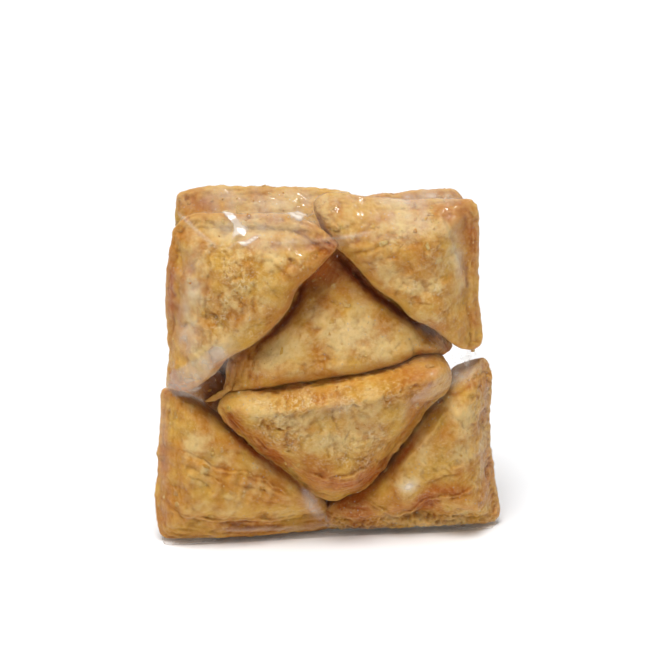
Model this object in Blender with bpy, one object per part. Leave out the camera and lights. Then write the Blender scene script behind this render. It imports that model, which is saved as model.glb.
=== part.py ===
"""A clear sealed bag of twelve triangular curry puffs, standing on its folded base.

The puffs are puff-pastry squares folded corner to corner, packed in two flat layers of six like
a cut tile: four in the corners of the pack and two in the middle, fold to fold. The bag is pulled tight over
them, so its outer form is a membrane in tension: it lies on the crown of every puff, spans the valleys
between them and is pressed flat where the pack stands.

X is the pack's width, Y its depth (the shown side faces -Y), Z is up. Metres, origin at the middle of the base.
"""

import math

import bmesh
import bpy
import numpy as np

MM = 0.001

# ---- one puff (mm) ----
CROWN = 16.5        # half thickness at the filled middle
RIM = 4.4           # half thickness of the frayed cut edge along the two short sides
SEAL = 3.1          # half thickness of the pressed seam just inside that edge
SEAL_AT = 7.0       # how far the seam lies in from the cut edge
SLOPE = 20.0        # width of the slope from the seam up to the crown
EDGE_R = 2.8        # rounding of every edge
FOLD_R = 17.0       # how far in from the folded long side its round back reaches
FOLD_BULGE = 7.0    # how far the folded side bows out at its middle
LEG_BULGE = 2.0     # the same for the two cut sides
CORNER = 2.0        # softness of the two sharp corners
SQUARE = 4.0        # softness of the square corner
REACH = 2.4         # the sides are drawn through points this far outside the three corners, which the softness rounds off

# ---- the pack (mm) ----
ROW = 82.0          # short side of a puff, and the height of one row
DEPTH = 17.0        # a layer's middle plane, out from the pack's middle
FILM_GAP = 0.8      # the bag lies this far outside the pastry
TENSION = 0.5       # how fast the bag evens itself out in one round
CLING = 0.04        # how far it is drawn in during one round, into the valleys between the puffs
MEET = 1.2          # rounding where two puffs meet
STEP = 0.9          # the most it moves in one round, so that no thin edge passes through it
CELL = 5.2          # mesh size of the bag over the shown side and the back
SIDE_CELL = 7.0     # and round its edges
LIFT = 0.3          # the bag's walls start this far above the flat face it stands on

# The folded end of the bag under the puffs: a stiff pad, by its two corners (x, y, z) in mm
BASE = ((-80.5, -22.5, 0.0), (81.5, 20.5, 3.0))
BASE_SKEW = 0.03    # the pad lies a little askew: y moves by this much for each mm of x
BASE_R = 1.4        # its rounding

# Each puff by its three corners (x, y, z) in mm: the two ends of the folded side, then the square corner.
FRONT = (
    ((5.0, -23.0, 146.0), (-74.0, -18.0, 79.0), (-72.5, -16.0, 166.0)),   # upper left, over its neighbours
    ((-9.0, -16.0, 163.0), (70.0, -19.5, 92.0), (67.5, -16.0, 167.0)),    # upper right
    ((-57.0, -14.5, 72.5), (57.0, -15.0, 91.0), (1.5, -4.0, 146.0)),      # middle, pointing up, set back at its tip
    ((-53.0, -20.5, 71.0), (59.0, -20.0, 86.5), (2.0, -24.0, 17.0)),      # middle, pointing down
    ((-75.5, -15.0, 79.0), (2.0, -19.0, 6.0), (-80.0, -21.5, 2.8)),       # lower left
    ((73.5, -15.0, 87.0), (4.5, -18.0, 6.0), (80.5, -16.5, 2.8)),         # lower right
)
BACK = (
    ((6.0, 18.0, 156.0), (-71.0, 17.0, 84.0), (-69.0, 15.5, 167.5)),
    ((-5.0, 16.0, 157.0), (70.0, 18.5, 93.0), (67.0, 16.0, 162.5)),
    ((-56.0, 14.5, 78.0), (57.0, 15.0, 85.0), (0.0, 6.0, 143.0)),
    ((-57.0, 20.0, 73.0), (56.0, 20.5, 76.0), (-1.0, 22.0, 16.0)),
    ((-77.0, 15.0, 80.0), (0.0, 16.0, 6.0), (-79.5, 15.5, 2.8)),
    ((76.0, 15.0, 73.0), (5.0, 16.0, 6.0), (80.0, 15.5, 2.8)),
)


class Puff:
    """A folded triangle of pastry. Its own frame: u along the folded side, v towards the square corner, w through it."""

    def __init__(self, a, b, c):
        a, b, c = (np.array(p, float) for p in (a, b, c))
        middle = (a + b + c) / 3
        a, b, c = (p + REACH * (p - middle) / np.linalg.norm(p - middle) for p in (a, b, c))
        self.origin = (a + b) / 2
        self.half = np.linalg.norm(b - a) / 2
        self.u = (b - a) / np.linalg.norm(b - a)
        up = c - self.origin
        self.w = np.cross(self.u, up)
        self.w /= np.linalg.norm(self.w)
        self.v = np.cross(self.w, self.u)
        self.tip_u, self.tip_v = up @ self.u, up @ self.v
        self.sides = []
        for start, sign in (((-self.half, 0.0), 1.0), ((self.half, 0.0), -1.0)):
            start, tip = np.array(start), np.array((self.tip_u, self.tip_v))
            length = np.linalg.norm(tip - start)
            along = (tip - start) / length
            inward = sign * np.array((along[1], -along[0]))
            self.sides.append((start, along, inward, length))

    def edges(self, u, v):
        """Distances in from the folded side and from the two cut sides, which all bow outwards."""
        fold = v + FOLD_BULGE * np.clip(1 - (u / self.half) ** 2, 0, 1)
        cut = []
        for start, along, inward, length in self.sides:
            du, dv = u - start[0], v - start[1]
            s = np.clip((du * along[0] + dv * along[1]) / length, 0, 1)
            cut.append(du * inward[0] + dv * inward[1] + LEG_BULGE * 4 * s * (1 - s))
        return fold, cut[0], cut[1]

    def half_thickness(self, u, v):
        """(half thickness, distance in from the outline), both in mm."""
        fold, c0, c1 = self.edges(u, v)
        cut = soft_min(c0, c1, k=SQUARE)
        inside = soft_min(fold, cut, k=CORNER)
        rim = SEAL + (RIM - SEAL) * np.clip(1 - cut / SEAL_AT, 0, 1) ** 2
        rise = smooth(np.clip((cut - SEAL_AT) / SLOPE, 0, 1))
        turn = np.sqrt(1 - (1 - np.clip(fold / FOLD_R, 0, 1)) ** 2)
        return EDGE_R + (rim - EDGE_R + (CROWN - rim) * rise) * turn, inside

    def distance(self, p):
        """Roughly how far points p are outside the pastry, in mm: a slab of that half thickness with rounded edges."""
        q = p - self.origin
        u, v, w = q @ self.u, q @ self.v, np.abs(q @ self.w)
        t, inside = self.half_thickness(u, v)
        over, out = w - (t - EDGE_R), EDGE_R - inside
        slab = np.hypot(np.maximum(over, 0), np.maximum(out, 0)) + np.minimum(np.maximum(over, out), 0) - EDGE_R
        return slab * 0.85


def soft_min(a, b, k):
    low = np.minimum(a, b)
    return low - k * np.log(np.exp(-(a - low) / k) + np.exp(-(b - low) / k))


def smooth(x):
    return x * x * (3 - 2 * x)


def base_distance(p):
    """Distance of points p to the folded end under the puffs."""
    lo, hi = np.array(BASE)
    p = p - p[:, :1] * np.array((0.0, BASE_SKEW, 0.0))
    q = np.abs(p - (lo + hi) / 2) - (hi - lo) / 2 + BASE_R
    return np.linalg.norm(np.maximum(q, 0), axis=1) + np.minimum(q.max(1), 0) - BASE_R


def contents(puffs, p):
    """Distance of points p to what is in the bag, with the meeting lines of the puffs a little rounded."""
    d = np.array([q.distance(p) for q in puffs] + [base_distance(p)])
    low = d.min(0)
    return low - MEET * np.log(np.exp(-(d - low) / MEET).sum(0))


def outward(puffs, p, step=0.6):
    """Direction in which that distance grows fastest."""
    g = np.stack(
        [contents(puffs, p + step * axis) - contents(puffs, p - step * axis) for axis in np.eye(3)], -1
    )
    return g / np.maximum(np.linalg.norm(g, axis=1, keepdims=True), 1e-9)


def box_grid(lo, hi, counts):
    """A closed box of square cells: points, and quads that face out."""
    index, points, quads = {}, [], []

    def at(i, j, k):
        if (i, j, k) not in index:
            index[i, j, k] = len(points)
            share = np.array((i, j, k)) / np.array(counts)
            points.append(lo + (hi - lo) * share)
        return index[i, j, k]

    nx, ny, nz = counts
    for i in range(nx):
        for k in range(nz):
            quads.append((at(i, 0, k), at(i + 1, 0, k), at(i + 1, 0, k + 1), at(i, 0, k + 1)))
            quads.append((at(i, ny, k), at(i, ny, k + 1), at(i + 1, ny, k + 1), at(i + 1, ny, k)))
    for j in range(ny):
        for k in range(nz):
            quads.append((at(0, j, k), at(0, j, k + 1), at(0, j + 1, k + 1), at(0, j + 1, k)))
            quads.append((at(nx, j, k), at(nx, j + 1, k), at(nx, j + 1, k + 1), at(nx, j, k + 1)))
    for i in range(nx):
        for j in range(ny):
            quads.append((at(i, j, 0), at(i, j + 1, 0), at(i + 1, j + 1, 0), at(i + 1, j, 0)))
            quads.append((at(i, j, nz), at(i + 1, j, nz), at(i + 1, j + 1, nz), at(i, j + 1, nz)))
    return np.array(points), quads


def pull_tight(points, quads, puffs, rounds=420):
    """Lets the bag shrink like a film in tension, stopped by the pastry inside it and by the floor under it."""
    pairs = sorted({tuple(sorted((q[i], q[(i + 1) % 4]))) for q in quads for i in range(4)})
    a, b = np.array(pairs).T
    degree = np.bincount(np.concatenate((a, b)), minlength=len(points))[:, None]
    ring = np.array(quads)
    foot = points[:, 2] == points[:, 2].min()
    for step in range(rounds):
        across = np.cross(points[ring[:, 2]] - points[ring[:, 0]], points[ring[:, 3]] - points[ring[:, 1]])
        normal = np.zeros_like(points)
        for corner in range(4):
            np.add.at(normal, ring[:, corner], across)
        normal /= np.maximum(np.linalg.norm(normal, axis=1, keepdims=True), 1e-9)
        total = np.zeros_like(points)
        for axis in range(3):
            total[:, axis] = np.bincount(a, points[b, axis], len(points)) + np.bincount(b, points[a, axis], len(points))
        drawn = CLING * np.clip(points[:, 2:] / 12, 0, 1)
        move = TENSION * (total / degree - points) - drawn * normal
        move *= np.minimum(1, STEP / np.maximum(np.linalg.norm(move, axis=1, keepdims=True), 1e-9))
        points = points + move
        # the middle of a cell that has gone into the pastry lifts its four corners, and then each corner is lifted out
        centre = points[ring].mean(1)
        lift = np.zeros_like(points)
        lifts = np.zeros(len(points))
        d = contents(puffs, centre) - FILM_GAP
        near = d < 0
        push = -np.maximum(d[near, None], -STEP) * outward(puffs, centre[near])
        for corner in range(4):
            np.add.at(lift, ring[near, corner], push)
            np.add.at(lifts, ring[near, corner], 1)
        points = points + lift / np.maximum(lifts, 1)[:, None]
        d = contents(puffs, points) - FILM_GAP
        near = d < 0
        points[near] -= np.maximum(d[near, None], -STEP) * outward(puffs, points[near])
        points[:, 2] = np.where(foot, 0, np.maximum(points[:, 2], LIFT))
    return points


def material(name, colour, roughness):
    m = bpy.data.materials.new(name)
    m.use_nodes = True
    p = m.node_tree.nodes["Principled BSDF"]
    p.inputs["Base Color"].default_value = (*colour, 1)
    p.inputs["Roughness"].default_value = roughness
    p.inputs["Metallic"].default_value = 0
    return m


def main():
    for obj in list(bpy.data.objects):
        bpy.data.objects.remove(obj)
    puffs = [Puff(*corners) for corners in FRONT + BACK]
    lo = np.array((-ROW - 8, -2 * DEPTH - 8, -2.0))
    hi = np.array((ROW + 8, 2 * DEPTH + 8, 2 * ROW + 14.0))
    size = hi - lo
    counts = (round(size[0] / CELL), round(size[1] / SIDE_CELL), round(size[2] / CELL))
    points, quads = box_grid(lo, hi, counts)
    points = pull_tight(points, quads, puffs)

    mesh = bpy.data.meshes.new("bag")
    mesh.from_pydata((points * MM).tolist(), [], quads)
    bag = bpy.data.objects.new("bag", mesh)
    bpy.context.scene.collection.objects.link(bag)

    # the flat base is one face
    bm = bmesh.new()
    bm.from_mesh(mesh)
    base = [f for f in bm.faces if all(v.co.z < 1e-7 for v in f.verts)]
    bmesh.ops.dissolve_faces(bm, faces=base, use_verts=False)
    bmesh.ops.triangulate(bm, faces=bm.faces[:])
    bm.to_mesh(mesh)
    bm.free()
    mesh.shade_smooth()
    mesh.set_sharp_from_angle(angle=math.radians(60))
    mesh.materials.append(material("pastry_in_clear_film", (0.66, 0.42, 0.17), 0.35))
    mesh.validate()


main()
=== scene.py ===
"""The looks of a clear sealed bag of curry puffs: twelve flaky triangles of puff pastry under a thin tight film.

All shapes are worked out here in millimetres and turned into meshes in metres. X is the pack's width, Y its
depth (the shown side faces -Y) and Z is up, as in the frame. Places on the shown side are written as points of
the photograph (x right, y down, 663 wide) and carried onto the pack through the camera.
"""

import math

import bpy
import numpy as np
from mathutils import Matrix, Vector
from mathutils.bvhtree import BVHTree


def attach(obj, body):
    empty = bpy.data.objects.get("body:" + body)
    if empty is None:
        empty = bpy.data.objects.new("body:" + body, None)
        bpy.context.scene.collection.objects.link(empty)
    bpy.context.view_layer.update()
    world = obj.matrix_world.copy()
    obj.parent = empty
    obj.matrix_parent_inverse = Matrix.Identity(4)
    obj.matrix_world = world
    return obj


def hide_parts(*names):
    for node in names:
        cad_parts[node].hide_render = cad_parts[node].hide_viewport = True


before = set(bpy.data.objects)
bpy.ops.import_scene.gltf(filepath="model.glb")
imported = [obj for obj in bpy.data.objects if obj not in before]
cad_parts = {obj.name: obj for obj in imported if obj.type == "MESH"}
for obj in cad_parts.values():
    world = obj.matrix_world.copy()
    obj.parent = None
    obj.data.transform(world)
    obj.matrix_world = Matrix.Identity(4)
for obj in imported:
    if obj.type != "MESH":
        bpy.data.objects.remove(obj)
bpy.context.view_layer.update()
MM = 0.001

# ------------------------------------------------------------------ camera

ELEVATION, AZIMUTH = math.radians(22.0), math.radians(-5.0)
DISTANCE = 1400.0
PX_PER_MM = 2.080  # at the target
TARGET = np.array((0.0, 0.0, 80.0))
TARGET_PX = (326.0, 365.0)

BACKWARD = np.array((
    math.sin(AZIMUTH) * math.cos(ELEVATION),
    -math.cos(AZIMUTH) * math.cos(ELEVATION),
    math.sin(ELEVATION),
))
RIGHT = np.array((math.cos(AZIMUTH), math.sin(AZIMUTH), 0.0))
UP = np.cross(BACKWARD, RIGHT)
AIM = TARGET + RIGHT * ((331.5 - TARGET_PX[0]) / PX_PER_MM) + UP * ((TARGET_PX[1] - 331.5) / PX_PER_MM)
EYE = AIM + BACKWARD * DISTANCE


def make_camera():
    data = bpy.data.cameras.new("camera")
    data.sensor_width = 36.0
    data.lens = PX_PER_MM * 36.0 * DISTANCE / 663.0
    data.clip_start, data.clip_end = 0.05, 20.0
    cam = bpy.data.objects.new("camera", data)
    bpy.context.scene.collection.objects.link(cam)
    turn = Matrix((Vector(RIGHT), Vector(UP), Vector(BACKWARD))).transposed().to_4x4()
    cam.matrix_world = Matrix.Translation(Vector(EYE * MM)) @ turn
    bpy.context.scene.camera = cam


def seen_from_eye(pixels):
    """The direction from the eye through each point of the photograph."""
    pixels = np.atleast_2d(np.array(pixels, float))
    focal = PX_PER_MM * DISTANCE
    x, y = (pixels[:, 0] - 331.5) / focal, (331.5 - pixels[:, 1]) / focal
    return -BACKWARD + x[:, None] * RIGHT + y[:, None] * UP


make_camera()

# ------------------------------------------------------------------ noise


def lattice(ix, iy, iz, seed):
    """A repeatable number from 0 to 1 for each whole-number point."""
    h = (ix * 374761393 + iy * 668265263 + iz * 1274126177 + seed * 974634777) & 0xFFFFFFFF
    h = ((h ^ (h >> 13)) * 1274126177) & 0xFFFFFFFF
    return (h ^ (h >> 16)) / 4294967295.0


def noise2(x, y, seed):
    """Smooth noise from -1 to 1 with features about one unit across."""
    x, y = np.broadcast_arrays(x, y)
    ix, iy = np.floor(x).astype(np.int64), np.floor(y).astype(np.int64)
    fx, fy = x - ix, y - iy
    sx, sy = fx * fx * fx * (fx * (fx * 6 - 15) + 10), fy * fy * fy * (fy * (fy * 6 - 15) + 10)
    total = 0.0
    for dx in (0, 1):
        for dy in (0, 1):
            turn = 2 * math.pi * lattice(ix + dx, iy + dy, 0 * ix, seed)
            slope = np.cos(turn) * (fx - dx) + np.sin(turn) * (fy - dy)
            total = total + slope * (sx if dx else 1 - sx) * (sy if dy else 1 - sy)
    return total * 1.5


def noise3(p, seed):
    """The same in space, for points p in an (n, 3) array."""
    i = np.floor(p).astype(np.int64)
    f = p - i
    s = f * f * f * (f * (f * 6 - 15) + 10)
    total = np.zeros(len(p))
    for dx in (0, 1):
        for dy in (0, 1):
            for dz in (0, 1):
                w = (s[:, 0] if dx else 1 - s[:, 0]) * (s[:, 1] if dy else 1 - s[:, 1]) * (s[:, 2] if dz else 1 - s[:, 2])
                total += w * lattice(i[:, 0] + dx, i[:, 1] + dy, i[:, 2] + dz, seed)
    return total * 2 - 1


def layered(x, y, seed, octaves=3, gain=0.5):
    total, size = 0.0, 1.0
    for k in range(octaves):
        total = total + size * noise2(x * 2**k + 17.3 * k, y * 2**k - 9.1 * k, seed + k)
        size *= gain
    return total


def ridged(x, y, seed):
    """Narrow ridges, 0 to 1."""
    return (1 - np.minimum(np.abs(noise2(x, y, seed)) * 2.2, 1)) ** 2


def cells(x, y, seed, jitter=0.92):
    """For each point the nearest and second-nearest scattered point's distance, a number that names the nearest, and
    how high the point lies on a small tile round it that is tipped its own way."""
    ix, iy = np.floor(x).astype(np.int64), np.floor(y).astype(np.int64)
    f1 = np.full(x.shape, 9.0)
    f2 = np.full(x.shape, 9.0)
    name, tip = np.zeros(x.shape), np.zeros(x.shape)
    for dx in (-1, 0, 1):
        for dy in (-1, 0, 1):
            cx, cy = ix + dx, iy + dy
            px = cx + 0.5 + jitter * (lattice(cx, cy, 0 * cx, seed) - 0.5)
            py = cy + 0.5 + jitter * (lattice(cx, cy, 0 * cx + 1, seed) - 0.5)
            d = np.hypot(px - x, py - y)
            closer = d < f1
            f2 = np.where(closer, f1, np.minimum(f2, d))
            own = lattice(cx, cy, 0 * cx + 2, seed)
            name = np.where(closer, own, name)
            tip = np.where(closer, (x - px) * np.cos(40 * own) + (y - py) * np.sin(40 * own), tip)
            f1 = np.where(closer, d, f1)
    return f1, f2, name, tip


def smooth(x):
    x = np.clip(x, 0, 1)
    return x * x * (3 - 2 * x)


def soft_min(a, b, k):
    low = np.minimum(a, b)
    return low - k * np.log(np.exp(-(a - low) / k) + np.exp(-(b - low) / k))


# ------------------------------------------------------------------ lines and grids


def rounded(points, rounds=2):
    """A polyline with its corners cut, its two ends kept."""
    points = np.array(points, float)
    for _ in range(rounds):
        if len(points) < 3:
            break
        a, b = points[:-1], points[1:]
        cut = np.stack((0.75 * a + 0.25 * b, 0.25 * a + 0.75 * b), 1).reshape(-1, 2)
        points = np.concatenate((points[:1], cut[1:-1], points[-1:]))
    return points


def off_line(u, v, line):
    """Signed distance to a polyline (positive on its left), how far along the nearest point is, and its length."""
    best, side, along = np.full(u.shape, 1e9), np.zeros(u.shape), np.zeros(u.shape)
    run = 0.0
    for (x0, y0), (x1, y1) in zip(line[:-1], line[1:]):
        dx, dy = x1 - x0, y1 - y0
        length = math.hypot(dx, dy)
        t = np.clip(((u - x0) * dx + (v - y0) * dy) / max(length, 1e-9) ** 2, 0, 1)
        d = (x0 + t * dx - u) ** 2 + (y0 + t * dy - v) ** 2
        near = d < best
        best = np.where(near, d, best)
        side = np.where(near, dx * (v - y0) - dy * (u - x0), side)
        along = np.where(near, run + t * length, along)
        run += length
    return np.sqrt(best) * np.where(side < 0, -1, 1), along, run


class Grid:
    """Numbers known at the crossings of an even grid, read anywhere between them."""

    def __init__(self, us, vs):
        self.us, self.vs, self.step = us, vs, us[1] - us[0]

    def place(self, u, v):
        x = np.clip((u - self.us[0]) / self.step, 0, len(self.us) - 1.001)
        y = np.clip((v - self.vs[0]) / self.step, 0, len(self.vs) - 1.001)
        i, j = x.astype(np.int64), y.astype(np.int64)
        return i, j, x - i, y - j

    def read(self, values, u, v):
        i, j, x, y = self.place(u, v)
        return (
            (values[i, j] * (1 - x) + values[i + 1, j] * x) * (1 - y)
            + (values[i, j + 1] * (1 - x) + values[i + 1, j + 1] * x) * y
        )


# ------------------------------------------------------------------ one puff

CROWN = 17.0
RIM = 3.6           # half thickness of the cut edge
SEAL = 3.3          # and of the pressed seam inside it
SQUARE = 3.2        # rounding of the square corner
CORE = 0.9          # half thickness of the innermost leaf, which reaches the outline
LEAVES = ((0.3, 0.65), (1.1, 0.6), (1.9, 0.55), (2.8, 0.5), (3.9, 0.5))  # how far each further leaf is set back, and its thickness
PAINTED_SHADE_POCKETS = (((-53.0, 9.0, 70.0), 13.0), ((0.5, -17.0, 15.0), 4.5))  # deep places between puffs, darkened with painted shade where little light comes in: centre, radius
STANDING = 1.0      # the lowest height of any pastry, so that it rests in the bag's base


class Puff:
    """A folded triangle of pastry: u runs along the folded side, v towards the square corner, w out of the pack."""

    def __init__(self, name, corners, outward, seed, look=None, runs=None, marks=(), shown=1):
        self.name, self.seed, self.marks, self.shown = name, seed, marks, shown
        self.look = {
            "bulge": 7.0, "leg": 2.0, "tips": (2.2, 2.2), "crown": 1.0, "seals": (4.5, 4.5), "slope": 21.0, "fold_r": 14.0,
            "lamellae": 0.5, "wrinkles": 0.4, "crackle": 1.0, "rough": 1.0, "pleats": 0.6, "crumbly": 0.3,
            "spread": 1.0, "pale": 0.0, "brown": 0.0, "bend": 0.0, "inner": 0.9, "lump": 1.0, "near": 1.0, "fold_brown": 0.35,
        }
        self.look.update(look or {})
        a, b, c = (np.array(p, float) for p in corners)
        tips = self.look["tips"]
        flip = np.cross(b - a, c - a) @ np.array(outward, float) < 0
        if flip:
            a, b, tips = b, a, tips[::-1]
        self.tips = tips
        self.origin = (a + b) / 2
        self.half = np.linalg.norm(b - a) / 2
        self.u = (b - a) / np.linalg.norm(b - a)
        up = c - self.origin
        self.w = np.cross(self.u, up)
        self.w /= np.linalg.norm(self.w)
        self.v = np.cross(self.w, self.u)
        self.tip_u, self.tip_v = up @ self.u, up @ self.v
        ends = (np.array((-self.half, 0.0)), np.array((self.half, 0.0)), np.array((self.tip_u, self.tip_v)))
        if runs is None:
            t = np.linspace(-1, 1, 13)
            fold = np.stack((self.half * t, -self.look["bulge"] * (1 - np.abs(t) ** 2.4)), 1)
            sides = []
            for start, sign in ((ends[0], 1.0), (ends[1], -1.0)):
                t = np.linspace(0, 1, 7)[:, None]
                along = (ends[2] - start) / np.linalg.norm(ends[2] - start)
                outside = -sign * np.array((along[1], -along[0]))
                sides.append(start + t * (ends[2] - start) + self.look["leg"] * 4 * t * (1 - t) * outside)
        else:
            fold, first, second = (self.on_plane(run, 0.0) for run in runs)
            sides = [second, first] if flip else [first, second]
            if flip:
                fold = fold[::-1]
                self.look["seals"] = self.look["seals"][::-1]
            middle = (ends[0] + ends[1] + ends[2]) / 3
            inward = middle - fold
            fold = fold + 0.8 * inward / np.linalg.norm(inward, axis=1, keepdims=True)
        self.outline = [rounded(line) for line in (fold, sides[0], sides[1])]
        points = np.concatenate(self.outline)
        self.low, self.high = points.min(0) - 6, points.max(0) + 6
        middle = (ends[0] + ends[1] + ends[2]) / 3
        self.coarse = Grid(np.arange(self.low[0], self.high[0] + 1, 1.0), np.arange(self.low[1], self.high[1] + 1, 1.0))
        cu, cv = np.meshgrid(self.coarse.us, self.coarse.vs, indexing="ij")
        self.fields = []
        for line in self.outline:
            first, last = line[0] - line[1], line[-1] - line[-2]
            longer = np.concatenate((
                [line[0] + 50 * first / np.linalg.norm(first)], line, [line[-1] + 50 * last / np.linalg.norm(last)],
            ))
            away, along, _ = off_line(cu, cv, longer)
            inside, _, _ = off_line(middle[:1], middle[1:], longer)
            self.fields.append((away * np.sign(inside[0]), along - 50))

    def on_plane(self, pixels, height):
        """Points of the photograph carried onto the puff, in (u, v), at a height over its middle plane."""
        rays = seen_from_eye(pixels)
        base = self.origin + np.atleast_1d(height)[:, None] * self.w
        t = ((base - EYE) @ self.w) / (rays @ self.w)
        at = EYE + rays * t[:, None] - self.origin
        return np.stack((at @ self.u, at @ self.v), 1)

    def place(self, local):
        return self.origin + local[:, :1] * self.u + local[:, 1:2] * self.v + local[:, 2:3] * self.w

    def plan(self, u, v):
        """Where a point lies in the outline: distances in from the fold and the cut sides, and along the nearer one."""
        n = self.seed
        (fold, _), (c0, s0), (c1, s1) = [[self.coarse.read(part, u, v) for part in field] for field in self.fields]
        fold = fold + 0.7 * noise2(u / 16, 0 * u, n + 1)
        cut, along_side = [], []
        for k, (c, s) in enumerate(((c0, s0), (c1, s1))):
            edge = 0.8 * noise2(s / 15, 0 * s + 3.7 * k, n + 2) + 0.4 * noise2(s / 4.5, 0 * s + 8.1 * k, n + 3)
            cut.append(c + edge)
            along_side.append(s + 200 * k)
        nearer = cut[0] < cut[1]
        side_cut = soft_min(cut[0], cut[1], SQUARE)
        share = smooth(u / self.half * 0.5 + 0.5)
        inside = soft_min(fold, side_cut, self.tips[0] + (self.tips[1] - self.tips[0]) * share)
        near_first = smooth(0.5 - (cut[0] - cut[1]) / 14)
        seal = self.look["seals"][1] + (self.look["seals"][0] - self.look["seals"][1]) * near_first
        return {"fold": fold, "cut": side_cut, "inside": inside, "s": np.where(nearer, along_side[0], along_side[1]), "seal": seal}

    def body(self, u, v, p, side):
        """Half thickness of the plump form, before anything fine."""
        n, look = self.seed + (0 if side > 0 else 400), self.look
        cut, fold, s = p["cut"], p["fold"], p["s"]
        wander = 2.6 * noise2(u / 17, v / 17, n + 5) + 0.9 * noise2(u / 6, v / 6, n + 6)
        x = np.clip((cut + wander - p["seal"]) / look["slope"], 0, 1)
        x = 1.06 * x * x / (x + 0.06)
        rise = 1 - (1 - x) ** 2.1
        turn = np.sqrt(1 - (1 - np.clip(fold / look["fold_r"], 0, 1)) ** 2)
        lump = 1 + look["lump"] * (0.12 * noise2(u / 25, v / 25, n + 7) + 0.06 * noise2(u / 10, v / 10, n + 8))
        crown = (CROWN * look["crown"] - SEAL) * rise * turn * lump
        # the leaves of the cut edge, each set back from the one under it
        rim, lip, spread = 0.0, 0.0, look["spread"]
        for k, (back, thick) in enumerate(LEAVES):
            back = spread * (back + 1.1 * noise2(s / 24, 0 * s + 5.3 * k, n + 10 + k) * min(1, 0.5 + k / 3))
            back = back + 0.35 * noise2(s / 6, 0 * s + 2.2 * k, n + 16 + k)
            torn = smooth(3.2 * noise2(s / 6.5, 0 * s + 7.7 * k, n + 22 + k) - 1.3)
            at = cut - back - 1.7 * torn
            rim = rim + thick * smooth(at / (0.5 + 0.5 * spread) + 0.5)
            lip = np.maximum(lip, np.exp(-((at + 0.4) / 0.35) ** 2))
        press = (RIM - SEAL) * smooth((cut - 2.6 * spread) / np.maximum(p["seal"] - 2.0, 1.5))
        t = CORE + (rim - press) * np.minimum(turn + 0.35 * (fold > 0), 1) + crown
        if side < 0:
            t = t * look["inner"]
        return t, lip

    def locate(self, pixels, heights, grid, side):
        """Points of the photograph carried onto the puff's own surface, in (u, v)."""
        at = self.on_plane(pixels, 0.0)
        for _ in range(4):
            at = self.on_plane(pixels, side * grid.read(heights, at[:, 0], at[:, 1]))
        return at

    def heights(self, u, v, p, grid, side):
        """Half thickness on one side at each crossing of the grid, and what the material needs to know there."""
        n, look = self.seed + (0 if side > 0 else 400), self.look
        t, lip = self.body(u, v, p, side)
        nothing = np.zeros(u.shape)
        cut, fold, s = p["cut"], p["fold"], p["s"]
        if side < 0 and self.shown > 0:
            # the faces that lie against each other in the pack: the same skin, more simply
            wx, wy = u + 1.8 * noise2(u / 5, v / 5, n + 32), v + 1.8 * noise2(u / 5 + 40, v / 5, n + 34)
            f1, f2, plate, tipped = cells(wx / 7.0, wy / 6.0, n + 36)
            middle = smooth((cut - 3) / 6) * smooth((fold - 1) / 5)
            small = noise2(wx / 2.4, wy / 2.4, n + 37)
            t = t + middle * (0.6 * noise2(u / 6.5, v / 6.5, n + 46) + 0.6 * tipped + 0.35 * (plate - 0.5) + 0.22 * small)
            t = t + 0.4 * smooth((cut - 1.5) / 2) * (ridged(s / 15, cut / 2.1 + 0.6 * noise2(s / 9, cut / 5, n + 24), n + 25) - 0.4)
            facts = {key: nothing for key in ("leaf", "leaf_edge", "fan", "crack_and_shade", "dome", "brown", "pale", "calm")}
            facts.update({"flake": 0.7 * middle, "small": 0.45 + 0.5 * small, "plate": plate})
            facts["crack_and_shade"] = 0.4 * middle * np.exp(-((f2 - f1) / 0.08) ** 2)
            return t, facts
        # places named on the photograph
        own = {key: nothing.copy() for key in ("brown", "pale", "crack_and_shade", "calm")}
        extra = nothing.copy()
        if side == self.shown:
            wu = u + 0.9 * noise2(u / 6, v / 6, n + 81) + 0.35 * noise2(u / 2, v / 2, n + 82)
            wv = v + 0.9 * noise2(u / 6 + 50, v / 6, n + 83) + 0.35 * noise2(u / 2 + 50, v / 2, n + 84)
            for mark in self.marks:
                kind = mark[0]
                if kind in ("lump", "tone", "calm"):
                    _, at, (rx, ry), angle = mark[:4]
                    turn = math.radians(angle)
                    axis_a = (at[0] + rx * math.cos(turn), at[1] + rx * math.sin(turn))
                    axis_b = (at[0] - ry * math.sin(turn), at[1] + ry * math.cos(turn))
                    spots = self.locate([at, axis_a, axis_b], t, grid, side)
                    a, b = spots[1] - spots[0], spots[2] - spots[0]
                    du, dv = wu - spots[0][0], wv - spots[0][1]
                    det = a[0] * b[1] - a[1] * b[0]
                    x, y = (du * b[1] - dv * b[0]) / det, (a[0] * dv - a[1] * du) / det
                    bell = np.exp(-(x * x + y * y))
                    if kind == "calm":
                        own["calm"] = np.maximum(own["calm"], bell)
                    elif kind == "lump":
                        extra += mark[4] * bell
                    else:
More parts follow.
